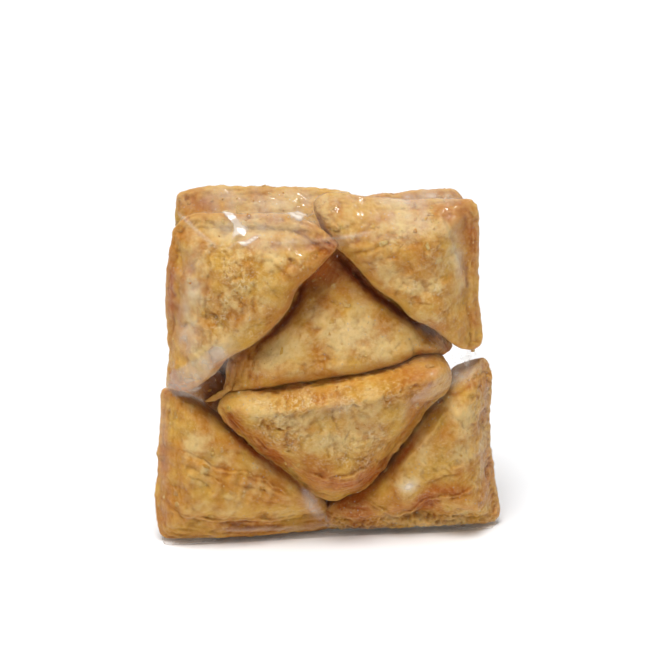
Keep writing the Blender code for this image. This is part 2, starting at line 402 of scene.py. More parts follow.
                        # tone marks make a place browner and paler: mostly the crust's own colour, and painted light
                        # where upper bands are lit from above or a part lies in shade
                        own["brown"] += mark[4] * bell
                        own["pale"] += mark[5] * bell
                    continue
                _, width, high, line = mark
                line = rounded(self.locate(line, t, grid, side))
                reach = 4 * width + 3 if kind == "step" else 3 * width + 3
                lo, hi = line.min(0) - reach - 4, line.max(0) + reach + 4
                i0, i1 = np.searchsorted(grid.us, (lo[0], hi[0]))
                j0, j1 = np.searchsorted(grid.vs, (lo[1], hi[1]))
                if i1 <= i0 or j1 <= j0:
                    continue
                box = (slice(i0, i1), slice(j0, j1))
                away, along, length = off_line(wu[box], wv[box], line)
                ends = smooth(along / (0.22 * length)) * smooth((length - along) / (0.22 * length))
                ends = np.where((along <= 0) | (along >= length), 0, ends)
                strength = np.clip(0.7 + 0.8 * noise2(along / 6, 0 * along, n + 85), 0.1, 1.4)
                # a gap mark digs a narrow groove where one puff meets another and darkens it browner: painted shade
                if kind == "gap":
                    bell = np.exp(-(away / width) ** 2) * ends
                    extra[box] -= high * bell
                    own["brown"][box] += min(0.9, 0.4 * high) * bell
                    own["crack_and_shade"][box] = np.maximum(own["crack_and_shade"][box], min(2.3, 0.85 * high) * np.exp(-(away / (0.7 * width)) ** 2) * ends)
                elif kind == "line":
                    wide = 1.2 * width * (1 + 0.45 * noise2(along / 5 + 9, 0 * along, n + 86))
                    bell = np.exp(-(away / wide) ** 2)
                    extra[box] += high * bell * ends * strength
                    if high < 0:
                        lap = smooth(away / 0.8 + 0.5) * np.exp(-np.clip(away, 0, None) / 3.5)
                        extra[box] -= 0.5 * high * lap * ends * strength
                        # painted shade along the crease's groove
                        dark = 0.42 * min(1, -high / 1.6) * np.exp(-(away / (0.9 * wide)) ** 2) * ends * np.clip(strength, 0, 1)
                        own["crack_and_shade"][box] = np.maximum(own["crack_and_shade"][box], dark)
                else:
                    over = smooth(away / 0.9 + 0.5) * np.exp(-np.clip(away, 0, None) / width)
                    extra[box] += high * over * ends * strength
                    # and a thin painted shadow under the step's lip
                    lipped = np.exp(-((away + 0.3) / 0.5) ** 2) * ends
                    own["crack_and_shade"][box] = np.maximum(own["crack_and_shade"][box], 0.5 * lipped)
        edge_fade = smooth((p["inside"] - 0.5) / 3.0)
        t = t + extra * edge_fade
        # long leaves that overlap down the slope, their edges facing the cut side
        where = smooth((cut - 2.5) / 2.0) * (1 - smooth((cut - 13 - 4 * noise2(s / 20, 0 * s, n + 20)) / 8))
        phase = cut / 3.9 + 1.1 * noise2(s / 30, cut / 30, n + 21) + 0.25 * noise2(s / 7, cut / 9, n + 22)
        part = phase - np.floor(phase)
        live = smooth(0.55 + 1.1 * noise2(s / 17, np.floor(phase) * 3.1, n + 23))
        leaf = where * live * look["lamellae"]
        t = t + leaf * (0.9 * (1 - part) * smooth(part / 0.13) - 0.35)
        leaf_edge = leaf * np.exp(-((np.minimum(part, 1 - part)) / 0.09) ** 2)
        # fine wrinkles along the same way
        wrinkle = ridged(s / 15, cut / 2.1 + 0.6 * noise2(s / 9, cut / 5, n + 24), n + 25)
        band = smooth((cut - 1.5) / 2) * (1 - 0.85 * smooth((cut - 12) / 12))
        t = t + look["wrinkles"] * band * (wrinkle - 0.4)
        # pleats that fan out from both sharp corners
        fan = 0.0
        turned = np.clip(fold / 8, 0, 1)
        for sign in (-1, 1):
            far, side_way = self.half - sign * u, v + 1.0
            r = np.hypot(far, side_way)
            phi = np.arctan2(side_way, far)
            fan = fan + np.exp(-((r - 7) / 9.0) ** 2) * noise2(phi * 7 + sign * 5, r / 14, n + 27 + sign)
        t = t + look["pleats"] * fan * turned
        # crackled skin: plates that have lifted a little, with cracks between, in patches
        middle = smooth((cut - 7) / 8) * smooth((fold - 2 * look["near"]) / (6 * look["near"]))
        patch = smooth(0.5 + 1.3 * noise2(u / 19, v / 19, n + 30) + 0.4 * noise2(u / 6, v / 6, n + 31))
        wx = u + 1.6 * noise2(u / 5, v / 5, n + 32) + 0.5 * noise2(u / 1.8, v / 1.8, n + 33)
        wy = v + 1.6 * noise2(u / 5 + 40, v / 5, n + 34) + 0.5 * noise2(u / 1.8 + 40, v / 1.8, n + 35)
        f1, f2, plate, tipped = cells(wx / 8.0, wy / 6.5, n + 36)
        g1, g2, small, small_tip = cells(wx / 3.2, wy / 2.6, n + 37)
        crack_and_shade = np.exp(-((f2 - f1) / 0.08) ** 2) * smooth(0.25 + 1.6 * noise2(u / 9, v / 9, n + 38))
        hair = np.exp(-((g2 - g1) / 0.14) ** 2) * smooth(0.5 + 1.6 * noise2(u / 7 + 9, v / 7, n + 39))
        flake = middle * patch * look["crackle"] * (1 - own["calm"])
        t = t + flake * (0.55 * (plate - 0.5) + 0.95 * tipped + 0.30 * (small - 0.5) + 0.42 * small_tip - 0.36 * crack_and_shade - 0.12 * hair)
        # soft dimples, folds, blisters and grain
        t = t + (0.3 + 0.4 * min(look["crackle"], 1)) * middle * noise2(u / 6.5, v / 6.5, n + 46)
        t = t + 0.55 * middle * look["crackle"] * (ridged(wx / 15, wy / 10, n + 48) - 0.3) * smooth(0.4 + 1.5 * noise2(u / 16, v / 16, n + 51))
        b1, _, blister, _ = cells((u + 3 * noise2(u / 9, v / 9, n + 41)) / 7.5, v / 7.5, n + 40)
        dome = np.where(blister > 0.66, np.clip(1 - (b1 / 0.42) ** 2, 0, 1), 0) * middle
        t = t + 0.5 * dome
        rough = smooth(0.45 + 1.2 * noise2(u / 13 + 3, v / 13, n + 43)) * look["rough"]
        grain = layered(u / 2.0, v / 2.0, n + 44, 2, 0.6)
        t = t + (0.07 + 0.28 * rough * middle) * grain
        crumb = look["crumbly"] * (1 - smooth((cut - 9) / 6))
        t = t + crumb * (0.55 * layered(u / 1.9, v / 1.9, n + 47, 2, 0.6) + 0.5 * noise2(u / 5, v / 5, n + 49))
        facts = {
            "leaf": leaf, "leaf_edge": leaf_edge, "fan": fan, "flake": flake, "small": small, "plate": plate, "dome": dome,
            "brown": own["brown"], "pale": own["pale"], "calm": own["calm"],
            "crack_and_shade": np.maximum(flake * np.maximum(0.6 * crack_and_shade, 0.25 * hair), own["crack_and_shade"] * edge_fade),
        }
        return t, facts

    def bow(self, u, v):
        """The middle plane isn't flat: the sharp corners bend by this much."""
        return self.look["bend"] * ((u / self.half) ** 2 - 0.3) + 0.8 * noise2(u / 40, v / 40, self.seed + 50)


def surface_net(field, origin, step):
    """The surface where a grid of numbers passes zero, one point in each cell it crosses: (points, quads)."""
    inside = field < 0
    corners = [(i, j, k) for i in (0, 1) for j in (0, 1) for k in (0, 1)]
    nx, ny, nz = (n - 1 for n in field.shape)
    count = np.zeros((nx, ny, nz), np.int8)
    for i, j, k in corners:
        count += inside[i:i + nx, j:j + ny, k:k + nz]
    at = np.argwhere((count > 0) & (count < 8))
    index = np.full((nx, ny, nz), -1, np.int64)
    index[tuple(at.T)] = np.arange(len(at))
    total, hits = np.zeros((len(at), 3)), np.zeros(len(at))
    for a in corners:
        for axis in range(3):
            if a[axis]:
                continue
            b = list(a)
            b[axis] = 1
            fa = field[tuple((at + a).T)]
            fb = field[tuple((at + b).T)]
            cross = (fa < 0) != (fb < 0)
            share = np.where(cross, fa / np.where(cross, fa - fb, 1), 0)
            point = at + np.array(a, float)
            point[:, axis] += share
            total[cross] += point[cross]
            hits += cross
    points = origin + step * total / hits[:, None]
    quads = []
    for axis in range(3):
        o, p = (axis + 1) % 3, (axis + 2) % 3
        lo = [slice(1, n) for n in (nx, ny, nz)]
        lo[axis] = slice(0, (nx, ny, nz)[axis])
        here = inside[tuple(lo)]
        nxt = list(lo)
        nxt[axis] = slice(1, (nx, ny, nz)[axis] + 1)
        there = inside[tuple(nxt)]
        for flip in (False, True):
            edge = np.argwhere((here & ~there) if not flip else (~here & there))
            edge += np.array([0 if q == axis else 1 for q in range(3)])
            around = []
            for do, dp in ((-1, -1), (0, -1), (0, 0), (-1, 0)):
                cell = edge.copy()
                cell[:, o] += do
                cell[:, p] += dp
                around.append(index[tuple(cell.T)])
            quad = np.stack(around, 1)
            quads.append(quad[:, ::-1] if flip else quad)
    return points, np.concatenate(quads)


def vertex_normals(points, quads):
    across = np.cross(points[quads[:, 2]] - points[quads[:, 0]], points[quads[:, 3]] - points[quads[:, 1]])
    normal = np.zeros_like(points)
    for corner in range(4):
        for axis in range(3):
            normal[:, axis] += np.bincount(quads[:, corner], across[:, axis], len(points))
    return normal / np.maximum(np.linalg.norm(normal, axis=1, keepdims=True), 1e-12)


def neighbour_mean(points, pairs, rounds=1):
    a, b = pairs
    degree = np.bincount(np.concatenate((a, b)), minlength=len(points))
    for _ in range(rounds):
        total = np.stack([
            np.bincount(a, points[b, axis], len(points)) + np.bincount(b, points[a, axis], len(points))
            for axis in range(points.shape[1])
        ], 1)
        points = total / np.maximum(degree, 1)[:, None]
    return points


def mesh_pairs(quads):
    pairs = np.concatenate([quads[:, (i, (i + 1) % quads.shape[1])] for i in range(quads.shape[1])])
    pairs.sort(axis=1)
    keys = np.unique(pairs[:, 0] * (pairs.max() + 1) + pairs[:, 1])
    return keys // (pairs.max() + 1), keys % (pairs.max() + 1)


def add_mesh(name, points, faces, attributes=None, smooth_shade=True):
    mesh = bpy.data.meshes.new(name)
    mesh.vertices.add(len(points))
    mesh.vertices.foreach_set("co", (points * MM).astype(np.float32).ravel())
    sides = faces.shape[1]
    mesh.loops.add(faces.size)
    mesh.loops.foreach_set("vertex_index", faces.astype(np.int32).ravel())
    mesh.polygons.add(len(faces))
    mesh.polygons.foreach_set("loop_start", np.arange(0, faces.size, sides, dtype=np.int32))
    mesh.polygons.foreach_set("loop_total", np.full(len(faces), sides, np.int32))
    mesh.update(calc_edges=True)
    mesh.validate()
    if smooth_shade:
        mesh.shade_smooth()
    for key, values in (attributes or {}).items():
        layer = mesh.attributes.new(key, "FLOAT", "POINT")
        layer.data.foreach_set("value", values.astype(np.float32))
    obj = bpy.data.objects.new(name, mesh)
    bpy.context.scene.collection.objects.link(obj)
    return obj


def build_puff(puff, step):
    """The puff's mesh in mm in the pack's frame, with what its material reads at each point."""
    n = puff.seed
    us, vs = np.arange(puff.low[0], puff.high[0] + step, step), np.arange(puff.low[1], puff.high[1] + step, step)
    ws = np.arange(-CROWN - 5.5, CROWN + 7.5 + step, step)
    grid = Grid(us, vs)
    u, v = np.meshgrid(us, vs, indexing="ij")
    plan = puff.plan(u, v)
    top, top_facts = puff.heights(u, v, plan, grid, 1)
    low, low_facts = puff.heights(u, v, plan, grid, -1)
    inside, mid = plan["inside"], puff.bow(u, v)
    radius = 0.9
    w = ws[None, None, :] - mid[..., None]
    over = np.where(w > 0, w - top[..., None], -w - low[..., None]) + radius
    out = np.broadcast_to((radius - inside)[..., None], over.shape)
    field = np.hypot(np.maximum(over, 0), np.maximum(out, 0)) + np.minimum(np.maximum(over, out), 0) - radius
    local, quads = surface_net(field.astype(np.float64), np.array((us[0], vs[0], ws[0])), step)
    pairs = mesh_pairs(quads)
    local = 0.65 * local + 0.35 * neighbour_mean(local, pairs)

    def at(values):
        return grid.read(values, local[:, 0], local[:, 1])

    # the true height again at each point of the broad faces
    mid_here = at(mid)
    front = local[:, 2] > mid_here
    normal = vertex_normals(local, quads)
    steep = smooth((np.abs(normal[:, 2]) - 0.45) / 0.25) * smooth((at(inside) - 1.5) / 1.0)
    true = mid_here + np.where(front, at(top), -at(low))
    local[:, 2] += steep * np.clip(true - local[:, 2], -0.6, 0.6)
    # small relief along the surface's own direction, also where it is steep
    shown = smooth((puff.shown * (local[:, 2] - mid_here) + 6) / 8)
    fine = 0.10 * noise3(local / 1.3, n + 60) + 0.16 * noise3(local / 3.1, n + 61)
    edge = 1 - smooth((at(plan["cut"]) - 3) / 5)
    fine += edge * (0.20 * noise3(local * np.array((0.35, 0.35, 1.0)) / 0.9, n + 62) + 0.16 * noise3(local / 2.0, n + 63))
    crust = (1 - steep) * smooth((at(plan["cut"]) - 4) / 6) * puff.look["crackle"] / puff.look["near"]
    crust = crust * (1 - np.where(front, at(top_facts["calm"]), at(low_facts["calm"])))
    fine += 0.085 * np.minimum(crust, 3) * (1 - 3 * np.abs(noise3(local / 3.6, n + 64)))
    local = local + normal * (fine * (0.4 + 0.6 * shown))[:, None]
    normal = vertex_normals(local, quads)
    near = np.einsum("ij,ij->i", neighbour_mean(local, pairs, 3) - local, normal)
    wide = np.einsum("ij,ij->i", neighbour_mean(local, pairs, 14) - local, normal)
    facts = {key: np.where(front, at(top_facts[key]), at(low_facts[key])) for key in top_facts}
    cut, fold, look = at(plan["cut"]), at(plan["fold"]), puff.look
    brown = (
        0.34 * (1 - smooth((cut - 3) / 7))
        + look["fold_brown"] * (1 - smooth((fold - 1) / 6))
        + 0.5 * facts["leaf"] * (0.35 + 0.65 * facts["leaf_edge"])
        + 0.35 * np.clip(facts["fan"], 0, 1)
        + 0.30 * noise2(local[:, 0] / 17, local[:, 1] / 17, n + 70)
        + look["brown"] + facts["brown"]
    )
    pale = (
        0.35
        + 0.42 * noise2(local[:, 0] / 12, local[:, 1] / 12, n + 71)
        + 0.22 * noise2(local[:, 0] / 4, local[:, 1] / 4, n + 72)
        + facts["flake"] * (0.35 * (facts["small"] - 0.45) + 0.25 * (facts["plate"] - 0.5))
        + 0.25 * facts["dome"]
        - 0.35 * (1 - smooth((cut - 6) / 8))
        + look["pale"] + facts["pale"]
    )
    attributes = {
        "brown": np.clip(brown, 0, 1.2), "pale": np.clip(pale, 0, 1.2),
        # cavity_shade: painted shade in the hollows of the surface, from its curvature
        # ridge_highlight: painted highlight on the ridges of the surface, from its curvature
        "cavity_shade": np.clip(near * 1.6 + wide * 0.9 - 0.06, 0, 1), "ridge_highlight": np.clip(-near * 3.2 - wide * 0.7, 0, 1),
        # crack_and_shade: dark lines along cracks and leaf edges, and painted shade along creases, gaps between puffs
        # and in the pockets
        "crack_and_shade": np.clip(facts["crack_and_shade"] + 0.7 * facts["leaf_edge"] * facts["leaf"], 0, 2.4),
        "flaky": np.clip(facts["flake"] * (0.55 + 0.5 * facts["small"]) + 0.3 * (1 - facts["calm"]) * look["crackle"] * smooth((cut - 7) / 8) * smooth((fold - 2 * look["near"]) / (6 * look["near"])) + 0.25 * look["crumbly"] * (1 - smooth((cut - 9) / 6)), 0, 1),
    }
    # the shown puffs' faces behind their middle plane get painted shade, more the further back they lie
    if puff.shown > 0:
        attributes["cavity_shade"] = np.maximum(attributes["cavity_shade"], 0.3 * smooth((mid_here - local[:, 2]) / 5.0))
    points = puff.place(local)
    # painted shade in the pockets between the puffs
    for centre, radius in PAINTED_SHADE_POCKETS:
        deep = np.exp(-(np.linalg.norm(points - centre, axis=1) / radius) ** 4)
        attributes["cavity_shade"] = np.maximum(attributes["cavity_shade"], 1.15 * deep)
        attributes["crack_and_shade"] = np.maximum(attributes["crack_and_shade"], 1.3 * deep)
    points[:, 2] = np.where(points[:, 2] < STANDING + 1.5, STANDING + 1.5 * np.exp((points[:, 2] - STANDING - 1.5) / 1.5), points[:, 2])
    return points, quads, attributes


# Each shown puff: name, its plane's three corners (the two ends of the fold, then the square corner), the outline's
# three runs on the photograph (the fold from its first end, then from each end of the fold to the square corner),
# what is its own, and what is to be seen on it.
FRONT = (
    (
        "puff_front_upper_left", ((5.0, -25.0, 146.0), (-74.0, -18.5, 79.0), (-72.5, -15.0, 166.0)),
        (
            ((341, 246), (333, 253), (324, 263), (312, 273), (303, 281), (297, 292), (293, 304), (284, 317), (273, 328),
             (262, 337), (250, 345), (238, 351), (228, 358), (220, 367), (210, 377), (198, 386), (184, 392), (168, 391)),
            ((341, 244), (331, 236), (318, 227), (305, 219), (285, 214), (260, 214), (235, 213), (210, 213), (190, 214), (175, 216)),
            ((166, 390), (168, 374), (169, 352), (167, 332), (165, 304), (165, 284), (167, 264), (170, 244), (173, 228), (176, 214)),
        ),
        {"tips": (1.4, 2.4), "slope": 20.0, "seals": (6.5, 2.5), "crown": 1.03, "lamellae": 0.35},
        (
            ("calm", (188, 290), (17, 70), 0), ("calm", (250, 230), (95, 15), 0), ("calm", (322, 250), (24, 16), 0), ("calm", (208, 358), (34, 13), -30), ("calm", (290, 300), (10, 44), 35),
            ("lump", (252, 300), (44, 40), 0, 1.6), ("lump", (288, 268), (24, 16), 30, 1.2), ("lump", (192, 296), (13, 34), 0, -1.4),
            ("lump", (194, 337), (11, 12), 0, 1.6), ("lump", (223, 346), (13, 14), 0, 1.3), ("lump", (240, 330), (20, 12), -20, 0.8),
            ("step", 9, -1.4, ((213, 262), (206, 285), (204, 310), (207, 330))),
            ("line", 0.9, -1.0, ((209, 322), (213, 340), (211, 362))), ("line", 0.9, -1.0, ((181, 332), (190, 322), (202, 326), (207, 342))),
            ("line", 0.8, -0.9, ((185, 348), (190, 368), (196, 386))), ("line", 0.8, -0.9, ((176, 346), (178, 366), (184, 386))),
            ("line", 0.8, -0.7, ((201, 352), (204, 368), (203, 380))),
            ("line", 1.2, -1.1, ((176, 232), (180, 250), (184, 266), (182, 285), (179, 305), (175, 320), (178, 340))),
            ("line", 0.8, -0.9, ((171, 256), (168, 280), (169, 310), (173, 340))),
            ("line", 1.4, -0.8, ((190, 246), (208, 248), (228, 247), (255, 246), (282, 244), (302, 246), (318, 254))),
            ("line", 1.6, 1.1, ((205, 240), (230, 239), (262, 236), (290, 236), (322, 243))),
            ("line", 1.6, 1.0, ((240, 222), (270, 222), (300, 226), (325, 237))),
            ("line", 1.2, -0.6, ((240, 229), (266, 231), (295, 231), (320, 239))), ("line", 1.0, -0.9, ((184, 223), (203, 221), (224, 226))),
            ("line", 0.9, -0.7, ((196, 234), (214, 236), (234, 232))),
            ("line", 1.6, 1.0, ((240, 252), (265, 254), (288, 263), (300, 280))), ("line", 1.2, -1.2, ((264, 250), (288, 257), (305, 270))),
            ("line", 0.8, 0.6, ((262, 262), (282, 272), (292, 290))), ("line", 1.4, 0.8, ((222, 262), (244, 256), (270, 257), (290, 266), (300, 282))),
            ("line", 0.7, -0.8, ((300, 246), (320, 243), (337, 244))), ("line", 0.7, -0.9, ((308, 256), (322, 250), (336, 246))),
            ("line", 0.7, -0.8, ((312, 265), (324, 256), (334, 250))), ("line", 0.6, -0.6, ((318, 240), (328, 243), (334, 243))),
            ("line", 0.5, -0.6, ((252, 272), (256, 290), (253, 308), (257, 326))), ("line", 0.6, -0.7, ((213, 303), (224, 291), (240, 283))),
            ("line", 0.5, -0.5, ((262, 275), (272, 290), (284, 301))), ("line", 0.6, -0.6, ((224, 330), (242, 331), (262, 322), (276, 311))),
            ("line", 0.5, -0.5, ((232, 300), (246, 306), (258, 300))),
            ("tone", (205, 232), (26, 12), 0, 0.15, 0.2), ("tone", (285, 246), (34, 5), 4, 0.55, -0.2), ("tone", (328, 250), (14, 12), 0, 0.35, 0.1),
            # painted light: the upper band at (262, 229) is made paler for the light falling on it from above
            ("tone", (262, 229), (60, 15), 0, -0.6, 1.1), ("tone", (190, 300), (14, 55), 0, -0.4, 0.55), ("tone", (205, 350), (24, 16), -20, -0.3, 0.2), ("tone", (172, 300), (6, 45), 0, 0.7, -0.3),
            ("tone", (240, 285), (24, 20), 0, -0.3, 0.25), ("tone", (224, 318), (24, 16), 0, -0.2, 0.1), ("tone", (275, 318), (26, 9), -45, 0.55, -0.3),
            ("tone", (225, 345), (18, 14), 0, -0.2, 0.35), ("tone", (270, 256), (26, 7), 12, 0.1, 0.3), ("tone", (184, 386), (20, 11), 0, 0.3, 0.0), ("tone", (214, 364), (14, 10), -30, 0.4, -0.1),
        ),
    ),
    (
        "puff_front_upper_right", ((-9.0, -12.0, 163.0), (70.0, -20.0, 92.0), (67.5, -16.0, 167.0)),
        (
            ((316, 226), (328, 240), (341, 251), (350, 259), (360, 271), (369, 282), (379, 290), (389, 296), (397, 303), (405, 313),
             (414, 318), (425, 321), (434, 327), (442, 335), (450, 343), (460, 349), (472, 351), (482, 349)),
            ((309, 216), (309, 206), (315, 198), (325, 193), (338, 192), (352, 195), (375, 198), (405, 199), (440, 199), (478, 198)),
            ((484, 347), (483, 334), (480, 312), (478, 285), (478, 255), (479, 225), (479, 197)),
        ),
        {"tips": (4.5, 3.0), "slope": 19.0, "seals": (2.5, 6.0), "pleats": 1.2, "lamellae": 0.35, "fold_r": 10.0, "crackle": 0.6},
        (
            ("calm", (328, 212), (26, 26), 0), ("calm", (410, 208), (70, 13), 0), ("calm", (468, 270), (13, 70), 0), ("calm", (360, 258), (34, 9), 20),
            ("lump", (328, 212), (17, 20), 0, 2.2), ("lump", (360, 212), (18, 14), 0, 1.5), ("lump", (412, 285), (46, 40), 40, 1.5),
            ("lump", (374, 285), (14, 11), 40, 1.0), ("lump", (400, 220), (36, 14), 0, 1.4), ("lump", (440, 320), (26, 16), 40, 1.0),
            ("line", 0.9, -1.2, ((311, 203), (322, 211), (336, 218))), ("line", 0.9, -1.2, ((313, 214), (325, 219), (340, 223))),
            ("line", 0.9, -1.2, ((318, 196), (328, 204), (340, 212))), ("line", 0.9, -1.2, ((320, 226), (332, 229), (344, 229))),
            ("line", 0.8, -0.9, ((327, 193), (336, 200), (344, 207))), ("line", 0.9, -1.0, ((384, 214), (372, 225), (361, 235))),
            ("line", 1.3, -1.1, ((341, 251), (356, 251), (371, 249), (388, 244))), ("line", 0.9, -0.6, ((342, 243), (365, 241), (388, 235), (403, 228))),
            ("line", 1.2, 0.9, ((345, 246), (366, 245), (388, 240))), ("line", 0.8, -0.7, ((350, 258), (370, 262), (392, 257), (406, 250))),
            ("line", 1.8, -1.0, ((358, 268), (374, 267), (390, 262))), ("line", 0.8, -0.8, ((388, 298), (398, 286), (408, 278), (418, 272))),
            ("line", 0.6, -0.6, ((426, 264), (422, 252), (428, 240))), ("line", 0.6, -0.5, ((400, 252), (410, 262), (412, 274))),
            ("line", 0.6, -0.6, ((405, 297), (420, 303), (436, 303))), ("line", 0.5, -0.5, ((440, 262), (436, 276), (440, 290))),
            ("step", 7, 1.7, ((470, 300), (465, 281), (457, 257), (448, 233), (442, 216), (432, 204))),
            ("line", 1.6, -0.5, ((436, 203), (446, 214), (453, 233), (462, 257), (468, 281), (471, 306))),
            ("line", 0.9, -0.6, ((452, 204), (464, 216), (472, 238), (475, 262))), ("line", 0.8, -0.8, ((462, 200), (472, 212), (477, 230))),
            ("lump", (467, 294), (4, 6), 0, -0.5),
            ("line", 0.7, -0.7, ((464, 322), (470, 334), (472, 346))), ("line", 0.7, -0.6, ((474, 318), (478, 332), (479, 344))),
            ("line", 0.7, -0.5, ((455, 326), (461, 336), (464, 346))), ("line", 1.0, 0.7, ((346, 199), (366, 203), (392, 205))),
            # painted light: the lobe at (328, 212) and the upper strip at (408, 218) and (400, 202) are made paler for
            # the light from above
            ("tone", (408, 218), (42, 17), 0, -0.5, 0.8), ("tone", (328, 212), (20, 24), 0, -0.1, 0.6), ("tone", (462, 222), (14, 24), 0, 0.3, 0.0), ("tone", (400, 202), (60, 6), 0, -0.5, 0.5),
            ("tone", (474, 280), (6, 45), 0, 0.35, 0.0), ("tone", (360, 255), (22, 8), 10, 0.4, -0.1), ("tone", (425, 292), (20, 18), 0, -0.2, 0.35),
            ("tone", (457, 262), (8, 28), -15, -0.4, 0.8), ("tone", (410, 250), (22, 18), 0, -0.35, 0.1), ("tone", (386, 268), (14, 10), 0, -0.1, 0.35),
            ("tone", (444, 325), (20, 14), 40, 0.15, 0.0),
        ),
    ),
    (
        "puff_front_middle_up", ((-57.0, -26.5, 72.5), (57.0, -14.5, 91.0), (1.5, 5.0, 146.0)),
        (
            ((221, 392), (232, 393), (248, 392), (270, 389), (290, 386), (315, 382), (345, 379), (375, 374), (396, 368), (408, 361),
             (414, 356), (428, 357), (441, 357), (450, 354)),
            ((221, 391), (225, 382), (225, 366), (230, 352), (246, 336), (266, 312), (290, 280), (316, 248)),
            ((455, 352), (453, 342), (447, 331), (434, 317), (416, 299), (394, 277), (368, 252), (345, 230)),
        ),
        {"tips": (1.2, 2.6), "crackle": 0.32, "rough": 0.7, "slope": 20.0, "seals": (3.0, 3.0), "fold_r": 7.0, "crown": 1.0, "lamellae": 0.3, "lump": 0.7},
        (
            ("gap", 2.6, 3.4, ((330, 246), (341, 260), (356, 275), (371, 290), (387, 303), (402, 314), (418, 324), (430, 331), (440, 339))),
            ("gap", 1.5, 2.2, ((334, 250), (323, 264), (309, 279), (300, 295), (292, 312), (278, 329), (260, 345), (246, 354))),
            ("lump", (345, 325), (52, 26), 10, 1.2), ("lump", (392, 318), (36, 12), 39, 2.4), ("lump", (284, 326), (30, 12), -48, 1.8), ("lump", (246, 364), (16, 20), 0, 2.4), ("lump", (430, 346), (12, 8), 0, 1.6),
            ("lump", (296, 340), (16, 18), 20, 0.8), ("lump", (318, 300), (20, 16), 0, -0.8),
            ("line", 1.2, -1.6, ((258, 338), (260, 352), (259, 370), (256, 386))), ("line", 0.8, -1.1, ((252, 348), (247, 364), (239, 384))),
            ("line", 0.8, -1.0, ((243, 351), (238, 367), (232, 382))), ("line", 0.7, -0.7, ((235, 357), (231, 370), (228, 380))),
            ("line", 0.7, -0.9, ((256, 354), (253, 371), (247, 386))), ("line", 0.6, -0.6, ((290, 365), (310, 363), (332, 359))),
            ("line", 0.6, -0.7, ((318, 352), (328, 357), (342, 361))), ("line", 0.5, -0.6, ((322, 345), (334, 350), (346, 352))),
            ("line", 0.7, 0.6, ((314, 368), (328, 372), (338, 377))), ("line", 0.6, -0.6, ((310, 374), (326, 377), (344, 374))),
            ("line", 1.2, -1.5, ((412, 358), (412, 347), (406, 336))), ("line", 0.6, -0.5, ((394, 352), (402, 342), (404, 330))),
            ("line", 0.9, 0.6, ((300, 350), (318, 332), (344, 320))), ("line", 0.6, -0.5, ((360, 320), (374, 326), (384, 336))),
            # painted light: the middle at (348, 330) is made paler where the upper puffs shade it
            ("tone", (240, 368), (16, 22), 0, 0.0, 0.0), ("tone", (295, 338), (14, 15), 20, 0.6, 0.0), ("tone", (348, 330), (46, 24), 12, -0.35, 0.6),
            ("tone", (385, 345), (26, 12), 10, -0.3, 0.3), ("tone", (330, 272), (30, 22), 0, 1.3, -0.6), ("tone", (430, 345), (18, 9), 0, 0.45, 0.4),
            ("tone", (300, 376), (34, 5), -5, 0.35, 0.0), ("tone", (280, 366), (28, 14), 0, -0.3, 0.4), ("tone", (370, 366), (30, 7), -8, 0.25, 0.2), ("tone", (355, 300), (30, 9), 10, 0.5, 0.0),
            ("tone", (280, 345), (22, 22), 0, -0.2, 0.4), ("tone", (327, 296), (14, 9), 0, -0.4, 0.1), ("tone", (346, 353), (15, 8), 0, -0.4, 0.1), ("tone", (392, 328), (12, 8), 20, -0.3, 0.1),
        ),
    ),
    (
        "puff_front_middle_down", ((-53.0, -26.0, 71.0), (59.0, -25.0, 86.5), (2.0, -23.0, 14.0)),
        (
            ((217, 401), (226, 393), (240, 388), (262, 385), (290, 380), (312, 376), (340, 373), (362, 370), (384, 366), (400, 361),
             (414, 357), (430, 354), (444, 355), (453, 364), (457, 374)),
            ((218, 412), (229, 427), (240, 434), (249, 442), (258, 452), (272, 462), (288, 474), (298, 483), (312, 495), (330, 505)),
            ((457, 380), (450, 392), (438, 400), (429, 406), (422, 418), (411, 434), (399, 449), (391, 459), (386, 468), (376, 480),
             (362, 491), (350, 495), (338, 503)),
        ),
        {"tips": (2.4, 4.0), "lamellae": 0.3, "slope": 20.0, "seals": (2.5, 2.5), "spread": 1.7, "fold_r": 8.0, "crown": 0.93, "crackle": 1.15, "near": 0.3, "fold_brown": 0.0, "pale": 0.0},
        (
            ("calm", (428, 378), (30, 19), -12), ("calm", (335, 481), (50, 11), 0), ("calm", (228, 408), (12, 8), 20), ("lump", (262, 423), (3, 4), 0, -1.3), ("lump", (255, 408), (20, 10), 0, 1.4), ("lump", (300, 406), (22, 14), 0, 1.0),
            ("lump", (362, 436), (24, 22), 0, 1.6), ("lump", (315, 442), (20, 13), 0, 1.1), ("lump", (374, 400), (18, 14), 0, 1.2),
            ("lump", (425, 376), (22, 13), -10, 3.2), ("lump", (326, 390), (70, 8), -9, 2.2), ("lump", (335, 405), (16, 12), 0, 0.8), ("lump", (278, 440), (10, 10), 0, 1.2),
            ("lump", (402, 405), (14, 16), 30, -1.0), ("lump", (290, 425), (10, 8), 0, -0.9),
            ("line", 0.8, -1.0, ((298, 437), (312, 435), (327, 427))), ("line", 0.8, -1.1, ((270, 431), (282, 428), (288, 438), (290, 452))),
            ("line", 0.7, -0.9, ((332, 408), (334, 420), (338, 432))), ("line", 0.7, -0.9, ((344, 397), (357, 404), (362, 414))),
            ("line", 0.7, -0.8, ((361, 384), (366, 399))), ("line", 0.8, -0.9, ((379, 386), (389, 404))),
            ("line", 0.7, -0.9, ((338, 448), (350, 458), (366, 458), (380, 448))), ("line", 0.9, -1.0, ((404, 376), (417, 371), (428, 379), (433, 390))),
            ("line", 0.8, -0.8, ((402, 370), (405, 384), (413, 393))), ("line", 0.6, -0.7, ((318, 400), (310, 412), (302, 418))),
